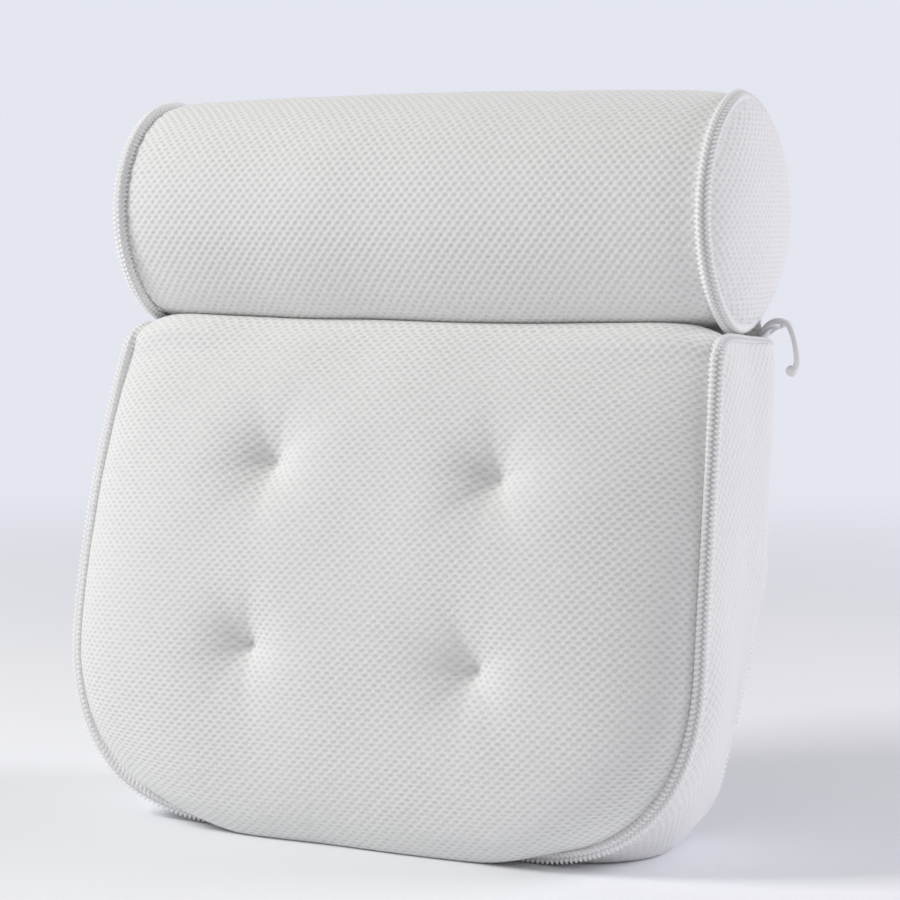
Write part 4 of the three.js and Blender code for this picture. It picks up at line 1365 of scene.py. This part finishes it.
    def filling(self, finishes: Finishes) -> None:
        """Builds the springy block inside the cloth, as closed rings from the foot to the top.

        A ring is the front panel's row sunk by the cloth, and the same row carried to the back.

        Args:
            finishes: The materials.
        """
        level = self.levels(0.45)[2:-1]
        u = self.columns(30) * 0.985
        front, cloth = self.front_points(level, u, 3.6, False)
        rear = front[:, ::-1, :].copy()
        row = np.minimum(level, self.shape.shoulder)
        edge_x, edge_z, _, _ = self.shape.edge(row, self.tuck)
        back_x, back_z, _, _ = self.shape.back_edge(row, 4.5)
        rear[..., 0] *= (back_x / edge_x)[:, None]
        rear[..., 2] += np.where(level < self.shape.centre, back_z - edge_z, 0.0)[:, None]
        rear[..., 1] = np.maximum(self.shape.back_seam(rear[..., 2]) - 3.6, rear[..., 1] + 0.4)
        rings, places = np.concatenate([front, rear], axis=1), np.concatenate([cloth, cloth[:, ::-1]], axis=1)
        form = Form.tube(rings, places).facing_out()
        node, body = "cushion_filling", Body.CUSHION.value
        Piece.make("cushion_core", form, finishes.fill, body, Slot.FILLING, [node], 0.0, CUSHION_FILL)

    def build(self, finishes: Finishes) -> None:
        """Builds every piece of the cushion.

        Args:
            finishes: The materials.
        """
        self.front_panel(finishes)
        self.side_band(finishes)
        self.back_panel(finishes)
        self.welt(finishes, True)
        self.welt(finishes, False)
        self.ties(finishes)
        self.filling(finishes)


def ring_angles(sides: int) -> Array:
    """Angles round a carried ring, from half a turn before its outward direction."""
    return np.linspace(-math.pi, math.pi, sides, endpoint=False)


def welt_places(way: Array) -> Array:
    """Places on a welt: the distance along it, and round it from the groove in millimetres."""
    return np.stack(np.meshgrid(way, ring_angles(WELT_SIDES) * WELT_ARM, indexing="ij"), axis=-1)


def braided(way: Array, radius: float) -> Array:
    """Radius of a welt covered by four beaded rows of loops.

    A round core, with rows a bit over a fifth of a turn apart and a groove along its outward
    side. Each row swells once in every pitch, half a step apart from the next.

    Args:
        way: Distance along the welt.
        radius: Greatest radius.

    Returns:
        The radius for each step along and round.
    """
    angle = ring_angles(WELT_SIDES)[None, :]
    way = way[:, None]
    rib = 0.0 * way
    for row in (-1.5, -0.5, 0.5, 1.5):
        slant = 1.3 * (angle - row * WELT_ROW) * math.copysign(1.0, row)
        bead = 0.52 + 0.48 * np.cos(TAU * way / WELT_PITCH + math.pi * row + slant)
        rib = rib + bead * np.exp(-(((angle - row * WELT_ROW) / 0.4) ** 2))
    return radius - 1.4 + 1.5 * np.minimum(1.0, rib)


@dataclass
class HeadRoll:
    """The round head roll: cover, two domed ends, two welts and its filling.

    Attributes:
        axis: Height of its axis.
        end_x: Half-length between the end seams.
        end_radius: Radius at the ends.
        barrel: How much thicker it is in the middle.
        cap_bulge: How far the ends stand out.
        sag: How far the cover sags onto the cushion.
        sag_angle: Where it sags, in degrees about the axis.
        ring_radius: Radius of the end seams.
        ring_left: Place of the left seam.
        ring_right: Place of the right seam.
        inset: How far the barrel's curve ends inside the seams.
        tuck: How far the cloths' edges go into the seams.
        welt_radius: Radius of the ring welts.
    """

    axis: float = ROLL_AXIS
    end_x: float = 152.0
    end_radius: float = 54.0
    barrel: float = 2.7
    cap_bulge: float = 12.0
    sag: float = 3.4
    sag_angle: float = 235.0
    ring_radius: float = 52.2
    ring_left: float = 152.4
    ring_right: float = 149.8
    inset: float = 3.4
    tuck: float = 0.6
    welt_radius: float = 3.6

    def radius_at(self, x: Array) -> Array:
        """Radius of the cover, a shallow barrel."""
        return self.end_radius + self.barrel * (1 - (x / (self.end_x - self.inset)) ** 2)

    def round_axis(self, x: Array, r: Array, angle: Array) -> Array:
        """Points at a place along, a radius and an angle about the roll's axis."""
        return np.stack(np.broadcast_arrays(x, r * np.cos(angle), self.axis + r * np.sin(angle)), axis=-1)

    def skin(self, x: Array, angle: Array) -> Array:
        """Radius of the cover with its gathers, its unevenness and its sag onto the cushion.

        Args:
            x: Places along the roll.
            angle: Angles about its axis.

        Returns:
            The radius there.
        """
        far = np.maximum(0.0, np.where(x < 0, self.ring_left, self.ring_right) - self.tuck - np.abs(x))
        gather = np.sin(31 * angle + np.sign(x)) + 0.6 * np.sin(47 * angle + 2.0 * np.sign(x))
        drawn = (self.end_radius - self.ring_radius) * np.exp(-((far / 11.0) ** 1.4))
        r = self.radius_at(x) - drawn + 0.3 * gather * np.exp(-far / 8.0) * (1 - np.exp(-far / 2.0))
        swirl = ripple(x, 24 * np.cos(angle) + 0 * x, 80.0, 6.0) + ripple(x, 24 * np.sin(angle) + 0 * x, 66.0, 7.0)
        below = np.degrees(np.mod(angle, TAU)) - self.sag_angle
        return r + (0.35 * swirl + self.sag * np.exp(-((below / 18.0) ** 2))) * (1 - np.exp(-far / 6.0))

    def lay_against(self, grid: Array, clear: float = 0.2) -> Array:
        """Lays the part of a surface that passes under the roll against its cover.

        Args:
            grid: Points of the surface.
            clear: Distance left between them.

        Returns:
            The surface, moved towards or away from the roll's axis there.
        """
        x, y, z = grid[..., 0], grid[..., 1], grid[..., 2] - self.axis
        angle = np.mod(np.arctan2(z, y), TAU)
        turn = np.degrees(angle)
        near = smoothstep(231, 239, turn) * (1 - smoothstep(250, 266, turn)) * (1 - smoothstep(112, 152, np.abs(x)))
        gap = self.skin(x, angle) + clear - np.hypot(y, z)
        shift = gap * near * (1 - smoothstep(7.0, 12.0, np.abs(gap)))
        return grid + np.stack([0 * x, shift * np.cos(angle), shift * np.sin(angle)], axis=-1)

    def cover(self, finishes: Finishes) -> None:
        """Builds the cover: a barrel that rounds in beside each welt, with small gathers there.

        Its radius at a place along and an angle round is the skin's, on rows closer together at the
        ends.

        Args:
            finishes: The materials.
        """
        t = np.linspace(-1, 1, 190)
        end = np.where(t < 0, self.ring_left, self.ring_right)[:, None] - self.tuck
        t = t[:, None]
        x = end * np.sign(t) * (1 - (1 - np.abs(t)) ** 1.35)
        angle = np.linspace(0, TAU, 240, endpoint=False)[None, :]
        far = end - np.abs(x)
        around = angle * 56.0
        grid = self.round_axis(x, self.skin(x, angle), angle)
        closed = np.concatenate([grid, grid[:, :1]], axis=1)
        turn = np.concatenate([angle, [[TAU]]], axis=1)
        low = np.maximum(smoothstep(0.25, 0.6, -np.sin(turn)), smoothstep(0.88, 0.99, np.cos(turn)))
        closed = ClothRun(cap=1.5).settle(closed, np.maximum(low, 1.0 - smoothstep(2.0, 12.0, far)))
        cloth = np.stack(np.broadcast_arrays(x, np.concatenate([around, [[TAU * 56.0]]], axis=1)), axis=-1)
        form = Form.from_grid(closed, cloth).facing_out()
        piece = Piece.sewn("roll_sleeve", form, finishes.roll_mesh, Body.ROLL, "roll_cover", ROLL_FILL)
        weld = piece.modifiers.new("weld", "WELD")
        weld.merge_threshold = 1e-5
        piece.modifiers.move(1, 0)

    def ends(self, finishes: Finishes) -> None:
        """Builds the two domed ends, drawn in at the seam.

        They stand out by the bulge times (1 - s^2.2)^0.62, with s the share of the rim's radius, plus
        gathers at the rim.

        Args:
            finishes: The materials.
        """
        rim = self.ring_radius - self.tuck
        for side in Side:
            place = self.ring_left if side is Side.LEFT else self.ring_right
            r = rim * np.sin(np.linspace(0.03, math.pi / 2, 46))[:, None]
            angle = np.linspace(0, TAU, 150, endpoint=False)[None, :]
            share = r / rim
            out = place + self.cap_bulge * np.maximum(0.0, 1 - share**2.2) ** 0.62
            gather = np.sin(29 * angle + side.value) + 0.6 * np.sin(43 * angle)
            out = out + 0.4 * gather * np.exp(-(rim - r) / 6.0) * (1 - share**30)
            y, z = r * np.cos(angle), r * np.sin(angle)
            out = out + 0.4 * ripple(y, z, 48.0, 8.0 + side.value) * (1 - share**8)
            grid = np.stack([side.value * out, y, self.axis + z], axis=-1)
            form = Form.from_grid(grid, np.stack([y, z + 0 * y], axis=-1), wrap_columns=True)
            middle = len(form.points)
            k = np.arange(150)
            fan = np.stack([np.full(150, middle), k, (k + 1) % 150], axis=-1)
            form.points = np.concatenate([form.points, grid[0].mean(axis=0)[None, :]])
            form.cloth = np.concatenate([form.cloth, [[0.0, 0.0]]])
            form.faces += fan.tolist()
            form.facing((side.value, 0.0, 0.0))
            end = side.name.lower()
            Piece.sewn(f"roll_end_cap_{end}", form, finishes.end_mesh, Body.ROLL, f"roll_end_{end}", ROLL_FILL)

    def welts(self, finishes: Finishes) -> None:
        """Builds the ring welt round each end.

        A braided ring carried round a circle that sinks behind and sags with the roll in front.

        Args:
            finishes: The materials.
        """
        count = 800
        angle = np.linspace(0, TAU, count, endpoint=False)
        for side in Side:
            spoke = np.stack([0 * angle, np.cos(angle), np.sin(angle)], axis=-1)
            behind = smoothstep(-30.0, 24.0, self.end_radius * np.cos(angle))[:, None]
            place = self.ring_left if side is Side.LEFT else self.ring_right
            below = np.degrees(angle) - self.sag_angle - 12.0
            ring = self.ring_radius + 0.6 - 1.6 * behind + 1.6 * np.exp(-((below / 26.0) ** 2))[:, None]
            path = spoke * ring + [side.value * (place + 0.7), 0.0, self.axis]
            path = path - behind * [2.2 * side.value, 0.0, 0.0]
            out = spoke + [0.5 * side.value, 0.0, 0.0]
            way = angle * self.end_radius
            pitch = TAU * self.end_radius / round(TAU * self.end_radius / WELT_PITCH)
            radius = braided(way * WELT_PITCH / pitch, self.welt_radius) * (1 - 0.25 * behind)
            tangent = np.stack([0 * angle, -np.sin(angle), np.cos(angle)], axis=-1)
            up = out / np.linalg.norm(out, axis=1, keepdims=True)
            wide = WELT_WIDE * np.cross(tangent, up)
            turn = ring_angles(WELT_SIDES)
            high = (radius * np.cos(turn))[..., None] * up[:, None]
            grid = path[:, None] + high + (radius * np.sin(turn))[..., None] * wide[:, None]
            cloth = welt_places(way)
            form = Form.from_grid(grid, cloth, wrap_rows=True, wrap_columns=True).facing_out()
            name = f"roll_welt_{side.name.lower()}"
            Piece.make(f"{name}_braid", form, finishes.welt, Body.ROLL.value, Slot.WELT, [name])

    def filling(self, finishes: Finishes) -> None:
        """Builds the foam core inside the cover.

        The cover's barrel less its cloth, turned about the roll's axis with rounded ends.

        Args:
            finishes: The materials.
        """
        x = np.linspace(-self.end_x + 4, self.end_x - 4, 60)
        ends = np.array([1.0, 0.96, 0.9, 0.78, 0.6, 0.35, 0.0])
        tip = [(r * 47.0, self.end_x - 4 + (self.cap_bulge - 1.0) * (1 - r**2)) for r in ends]
        body = [(float(self.radius_at(v)) - 3.8, v) for v in x[1:-1]]
        profile = np.array([(r, -h) for r, h in tip[::-1]] + body + tip)
        turned = lathe(profile, 72)
        form = Form(turned.points[:, [2, 1, 0]] + [0.0, 0.0, self.axis], turned.faces, turned.cloth).facing_out()
        Piece.make("roll_core", form, finishes.fill, Body.ROLL.value, Slot.FILLING, ["roll_filling"], 0.0, ROLL_FILL)

    def build(self, finishes: Finishes) -> None:
        """Builds every piece of the roll.

        Args:
            finishes: The materials.
        """
        self.cover(finishes)
        self.ends(finishes)
        self.welts(finishes)
        self.filling(finishes)


@dataclass
class FoldWeb:
    """The strip of cloth that joins the roll to the cushion and lets it fold back.

    Attributes:
        cushion: The outline that it is sewn to.
        fold: Depth and height of the fold line.
        half_length: Half of its length.
        skin: Radius where it lies on the roll.
        cloth: Its thickness.
    """

    cushion: CushionOutline = field(default_factory=CushionOutline)
    fold: tuple[float, float] = (41.0, 231.8)
    half_length: float = 143.8
    skin: float = 58.0
    cloth: float = 2.0

    def build(self, finishes: Finishes) -> None:
        """Builds the strip and bends it across the fold.

        Its section runs up the back, out to the fold line and up the roll's skin.

        Args:
            finishes: The materials.
        """
        low = np.array([204.0, 214.0, 222.0, 226.0])
        up = np.stack([self.cushion.back_seam(low) + 1.3, low], axis=-1)
        angle = np.radians(np.linspace(-50, -24, 6))
        skin = np.stack([self.skin * np.cos(angle), ROLL_AXIS + self.skin * np.sin(angle)], axis=-1)
        knots = np.concatenate([up, [[30.0, 228.6], [36.5, 229.9], list(self.fold), [38.6, 236.8]], skin])
        line = curve_through(np.insert(knots, 0, 0.0, axis=1), 90)[:, 1:]
        x = np.linspace(-self.half_length, self.half_length, 160)[:, None]
        way = run_length(line, 0)
        tangent = np.gradient(line, axis=0)
        tangent /= np.linalg.norm(tangent, axis=1, keepdims=True)
        normal = np.stack([tangent[:, 1], -tangent[:, 0]], axis=-1)
        soft = 0.25 * ripple(x + 0 * way, way + 0 * x, 30.0, 9.0)
        y = line[:, 0] + normal[:, 0] * soft
        z = line[:, 1] + normal[:, 1] * soft
        grid = np.stack(np.broadcast_arrays(x, y, z), axis=-1)
        cloth = np.stack(np.broadcast_arrays(x, way), axis=-1)
        form = Form.from_grid(grid, cloth)
        nodes = ["fold_web_cushion_leaf", "fold_web_roll_leaf"]
        piece = Piece.make("fold_web", form, finishes.mesh, None, Slot.MESH, nodes)
        thick = piece.modifiers.new("wall", "SOLIDIFY")
        thick.thickness = self.cloth * MM
        thick.offset = 0.0
        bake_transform(piece)


@dataclass
class SuctionCups:
    """Six suction cups, each with its domed cloth seat.

    Attributes:
        cushion: The outline whose back carries four of them.
        roll: The roll that carries two.
        roll_x: Their place along the roll.
    """

    cushion: CushionOutline = field(default_factory=CushionOutline)
    roll: HeadRoll = field(default_factory=HeadRoll)
    roll_x: float = 75.0

    def cup_profile(self) -> Array:
        """Half outline of a cup: head, neck, flared dish and its hollow face.

        Returns:
            Pairs of radius and height.
        """
        return np.array([
            (0, 0.6), (6, 0.6), (7.2, 1.8), (7.2, 4.2), (4.9, 5.2), (4.5, 5.3), (4.5, 8.3), (9.5, 10.7),
            (21, 14.8), (27, 18), (27, 19), (25, 19), (15, 16), (0, 15.2),
        ])

    def seat_profile(self, sink: float) -> Array:
        """Outline of a seat: a sewn flange, a dome and the hole for the neck.

        Args:
            sink: How far its underside reaches below its base.

        Returns:
            A ring of radius and height pairs.
        """
        ring = np.array([
            (9, 0.3 - sink), (16, 0.3 - sink), (16, 1.4), (13.6, 2.0), (11, 6.5), (9.5, 7.5), (4.8, 7.5),
            (4.8, 5.5), (9, 5.5),
        ])
        return softened(np.concatenate([ring, ring[:1]]), 2)[:-1]

    def place(self, form: Form, at: Array, lean: float) -> Form:
        """Lays a body turned about Z along +Y, leans it and puts it in its place.

        Args:
            form: The body.
            at: Where its base goes.
            lean: Slope of the plane that it stands on.

        Returns:
            The body in its place, with its faces out.
        """
        axis = np.array([0.0, 1.0, -lean]) / math.hypot(1.0, lean)
        rise = np.array([0.0, lean, 1.0]) / math.hypot(1.0, lean)
        x, y, h = form.points.T
        points = np.outer(x, [1.0, 0.0, 0.0]) + np.outer(y, rise) + np.outer(h, axis) + at
        return Form(points, form.faces, form.cloth).facing_out()

    def build(self, finishes: Finishes) -> None:
        """Builds the cups and seats, each cup on its own spinning body.

        Both are rounded profiles turned about the cup's axis.

        Args:
            finishes: The materials.
        """
        spots: list[tuple[str, Array, float, Body]] = []
        for side in Side:
            end = side.name.lower()
            skin = float(self.roll.radius_at(np.array(self.roll_x)))
            spots.append((f"roll_{end}", np.array([side.value * self.roll_x, skin, self.roll.axis]), 0.0, Body.ROLL))
            for name, z in zip(("lower", "upper"), CUP_LEVELS):
                y = float(self.cushion.back_seam(np.array(z)))
                at = np.array([side.value * CUP_X, y, z])
                spots.append((f"{name}_{end}", at, self.cushion.back_lean, Body.CUSHION))
        for name, at, lean, body in spots:
            cup = self.place(lathe(softened(self.cup_profile(), 2), 72), at, lean)
            Piece.make(f"cup_{name}_dish", cup, finishes.vinyl, f"cup_{name}", Slot.VINYL, [f"suction_cup_{name}"])
            sink = 3.0 if body is Body.ROLL else 0.0
            seat = self.place(lathe(self.seat_profile(sink), 64, True), at, lean)
            Piece.make(f"seat_{name}", seat, finishes.seat, body.value, Slot.SEAT, [f"cup_seat_{name}"])


@dataclass
class HangingHook:
    """The white plastic hook, and the loop of cord that it hangs from.

    Attributes:
        y: Depth of both.
        wire: Radius of the hook's wire.
        ball: Radius of the balls at its tips.
        apex: Place and height of its bend.
        cord: Radius of the loop's cord.
    """

    y: float = 38.0
    wire: float = 1.5
    ball: float = 2.7
    apex: tuple[float, float] = (153.7, 238.2)
    cord: float = 0.8

    def hook(self, finishes: Finishes) -> None:
        """Builds the hook: a wire with a ball at each end.

        A circle carried along the wire's curve, its radius that of a sphere near both tips.

        Args:
            finishes: The materials.
        """
        steps = np.array([
            (-5.4, -3.67), (-4.8, -2), (-2.67, -0.4), (0, 0), (2.6, -1.2), (4.3, -4.8), (5.2, -8.8),
            (5.5, -12.2), (4.9, -14.4), (3.7, -15.33),
        ]) * self.wire
        knots = np.stack([self.apex[0] + steps[:, 0], np.full(len(steps), self.y), self.apex[1] + steps[:, 1]], -1)
        line = curve_through(knots, 120)
        tip = 2.25
        reach = np.linspace(0.2, tip, 9)[:, None]
        first = line[0] + (line[0] - line[1]) / np.linalg.norm(line[0] - line[1]) * reach[::-1]
        last = line[-1] + (line[-1] - line[-2]) / np.linalg.norm(line[-1] - line[-2]) * reach
        path = np.concatenate([first, line, last])
        walked = run_length(path, 0)
        from_ball = np.minimum(np.abs(walked - tip), np.abs(walked[-1] - tip - walked))
        sphere = np.sqrt(np.maximum(0.0, self.ball**2 - from_ball**2))
        inside = (walked > tip) & (walked < walked[-1] - tip)
        radius = np.where(inside, np.maximum(sphere, self.wire), sphere)
        out = np.broadcast_to([0.0, -1.0, 0.0], path.shape)
        rings = along_path(path, out, np.repeat(radius[:, None], 20, axis=1))
        form = Form.tube(rings).facing_out()
        Piece.make("hook", form, finishes.plastic, Body.HOOK.value, Slot.PLASTIC, ["hang_hook"])

    def loop(self, finishes: Finishes) -> None:
        """Builds the loop: a three-strand cord out of the seam and back into it.

        A ring with three lobes that turn once in every 5 mm, carried along the loop.

        Args:
            finishes: The materials.
        """
        half = np.array([
            (144.7, -2.2, 230.2), (146.7, -4, 232), (149.4, -5.5, 234.4), (152.5, -5.1, 235.6), (153.7, -3.5, 235.6),
            (153.9, -2, 235.6),
        ])
        knots = np.concatenate([half, half[::-1] * [1, -1, 1]]) + [0.0, self.y, 0.0]
        path = curve_through(knots, 150)
        way = run_length(path, 0)
        angle = np.linspace(0, TAU, 18, endpoint=False)
        radius = self.cord * (0.9 + 0.1 * np.cos(3 * (angle[None, :] - TAU * way[:, None] / 5.0)))
        out = np.broadcast_to([0.0, 0.0, 1.0], path.shape)
        cloth = np.stack(np.meshgrid(way, angle, indexing="ij"), axis=-1)
        form = Form.tube(along_path(path, out, radius), cloth).facing_out()
        Piece.make("loop_cord", form, finishes.thread, Body.CUSHION.value, Slot.THREAD, ["hang_loop"])

    def build(self, finishes: Finishes) -> None:
        """Builds the hook and its loop."""
        self.hook(finishes)
        self.loop(finishes)


@dataclass
class Studio:
    """Camera, lights, pale floor and pale surroundings.

    Attributes:
        eye: Where the camera stands, in metres.
        target: What it looks at.
        lens: Its focal length in millimetres.
        ambient: Strength of the light from the surroundings.
    """

    eye: tuple[float, float, float] = (0.57505, -1.10373, 0.28719)
    target: tuple[float, float, float] = (0.00014, 0.01637, 0.17483)
    lens: float = 105.04
    ambient: float = 0.475

    def camera(self) -> None:
        """Puts the camera where the photograph was taken from."""
        data = bpy.data.cameras.new("camera")
        data.lens = self.lens
        data.sensor_width = 36.0
        camera = bpy.data.objects.new("camera", data)
        bpy.context.scene.collection.objects.link(camera)
        camera.location = self.eye
        look = Vector(self.target) - Vector(self.eye)
        camera.rotation_euler = look.to_track_quat("-Z", "Y").to_euler()
        bpy.context.scene.camera = camera

    def lamp(self, name: str, at: Sequence[float], size: float, power: float, colour: Sequence[float]) -> None:
        """Adds a square soft light that looks at the pillow.

        Args:
            name: The light's name.
            at: Where it stands, in metres.
            size: Length of its side.
            power: Its strength in watts.
            colour: Its colour.
        """
        data = bpy.data.lights.new(name, "AREA")
        data.size = size
        data.energy = power
        data.color = colour
        lamp = bpy.data.objects.new(name, data)
        bpy.context.scene.collection.objects.link(lamp)
        lamp.location = at
        look = Vector((0.0, 0.0, 0.18)) - Vector(at)
        lamp.rotation_euler = look.to_track_quat("-Z", "Y").to_euler()

    def floor(self) -> None:
        """Lays a wide pale floor that fades into the surroundings."""
        angle = np.linspace(0, TAU, 96, endpoint=False)
        reach = np.array([0.0005, 0.4, 0.9, 1.6, 2.6, 4.0])[:, None]
        rings = np.stack([reach * np.cos(angle), reach * np.sin(angle), 0 * reach * angle - 0.0004], axis=-1)
        mesh = bpy.data.meshes.new("floor")
        faces = grid_faces(6, 96, wrap_columns=True).tolist() + [list(range(96))]
        mesh.from_pydata(rings.reshape(-1, 3).tolist(), [], faces)
        floor = bpy.data.objects.new("floor", mesh)
        bpy.context.scene.collection.objects.link(floor)
        n = Nodes("pale_floor", 0.75)
        tone = n.span(n.noise(n.place, 3.0, 2.0), (0.3, 0.7), (0.0, 1.0))
        n.feed("Base Color", n.blend(tone, (0.94, 0.95, 1.0), (0.96, 0.97, 1.0)))
        length = n.add("ShaderNodeVectorMath", {0: n.place}, operation="LENGTH").outputs["Value"]
        n.feed("Alpha", n.span(length, (0.4, 1.6), (1.0, 0.0)))
        mesh.materials.append(n.material)

    def room(self) -> None:
        """Surrounds the scene with a pale tone, and lights it by a dimmer one of the same colour."""
        world = bpy.data.worlds.new("pale_room")
        bpy.context.scene.world = world
        world.use_nodes = True
        tree = world.node_tree
        lit = tree.nodes["Background"]
        lit.inputs["Color"].default_value = (0.82, 0.82, 0.815, 1.0)
        lit.inputs["Strength"].default_value = self.ambient
        seen = tree.nodes.new("ShaderNodeBackground")
        seen.inputs["Color"].default_value = (0.775, 0.79, 0.87, 1.0)
        mix = tree.nodes.new("ShaderNodeMixShader")
        path = tree.nodes.new("ShaderNodeLightPath")
        tree.links.new(path.outputs["Is Camera Ray"], mix.inputs[0])
        tree.links.new(lit.outputs[0], mix.inputs[1])
        tree.links.new(seen.outputs[0], mix.inputs[2])
        tree.links.new(mix.outputs[0], tree.nodes["World Output"].inputs[0])

    def build(self) -> None:
        """Sets up the camera, the surroundings, the lights and the floor."""
        self.camera()
        self.room()
        self.lamp("key", (-1.3, -0.95, 1.35), 0.6, 22.3, (1.0, 0.995, 0.98))
        self.lamp("rim", (1.45, 0.7, 0.8), 0.8, 13.0, (0.93, 0.905, 1.0))
        self.floor()
        view = bpy.context.scene.view_settings
        view.view_transform = "Standard"
        view.exposure = 0.0


def main() -> None:
    logging.basicConfig(level=logging.INFO, format="%(message)s")
    Studio().build()
    finishes = Finishes()
    Cushion().build(finishes)
    HeadRoll().build(finishes)
    FoldWeb().build(finishes)
    SuctionCups().build(finishes)
    HangingHook().build(finishes)


if __name__ == "__main__":
    main()
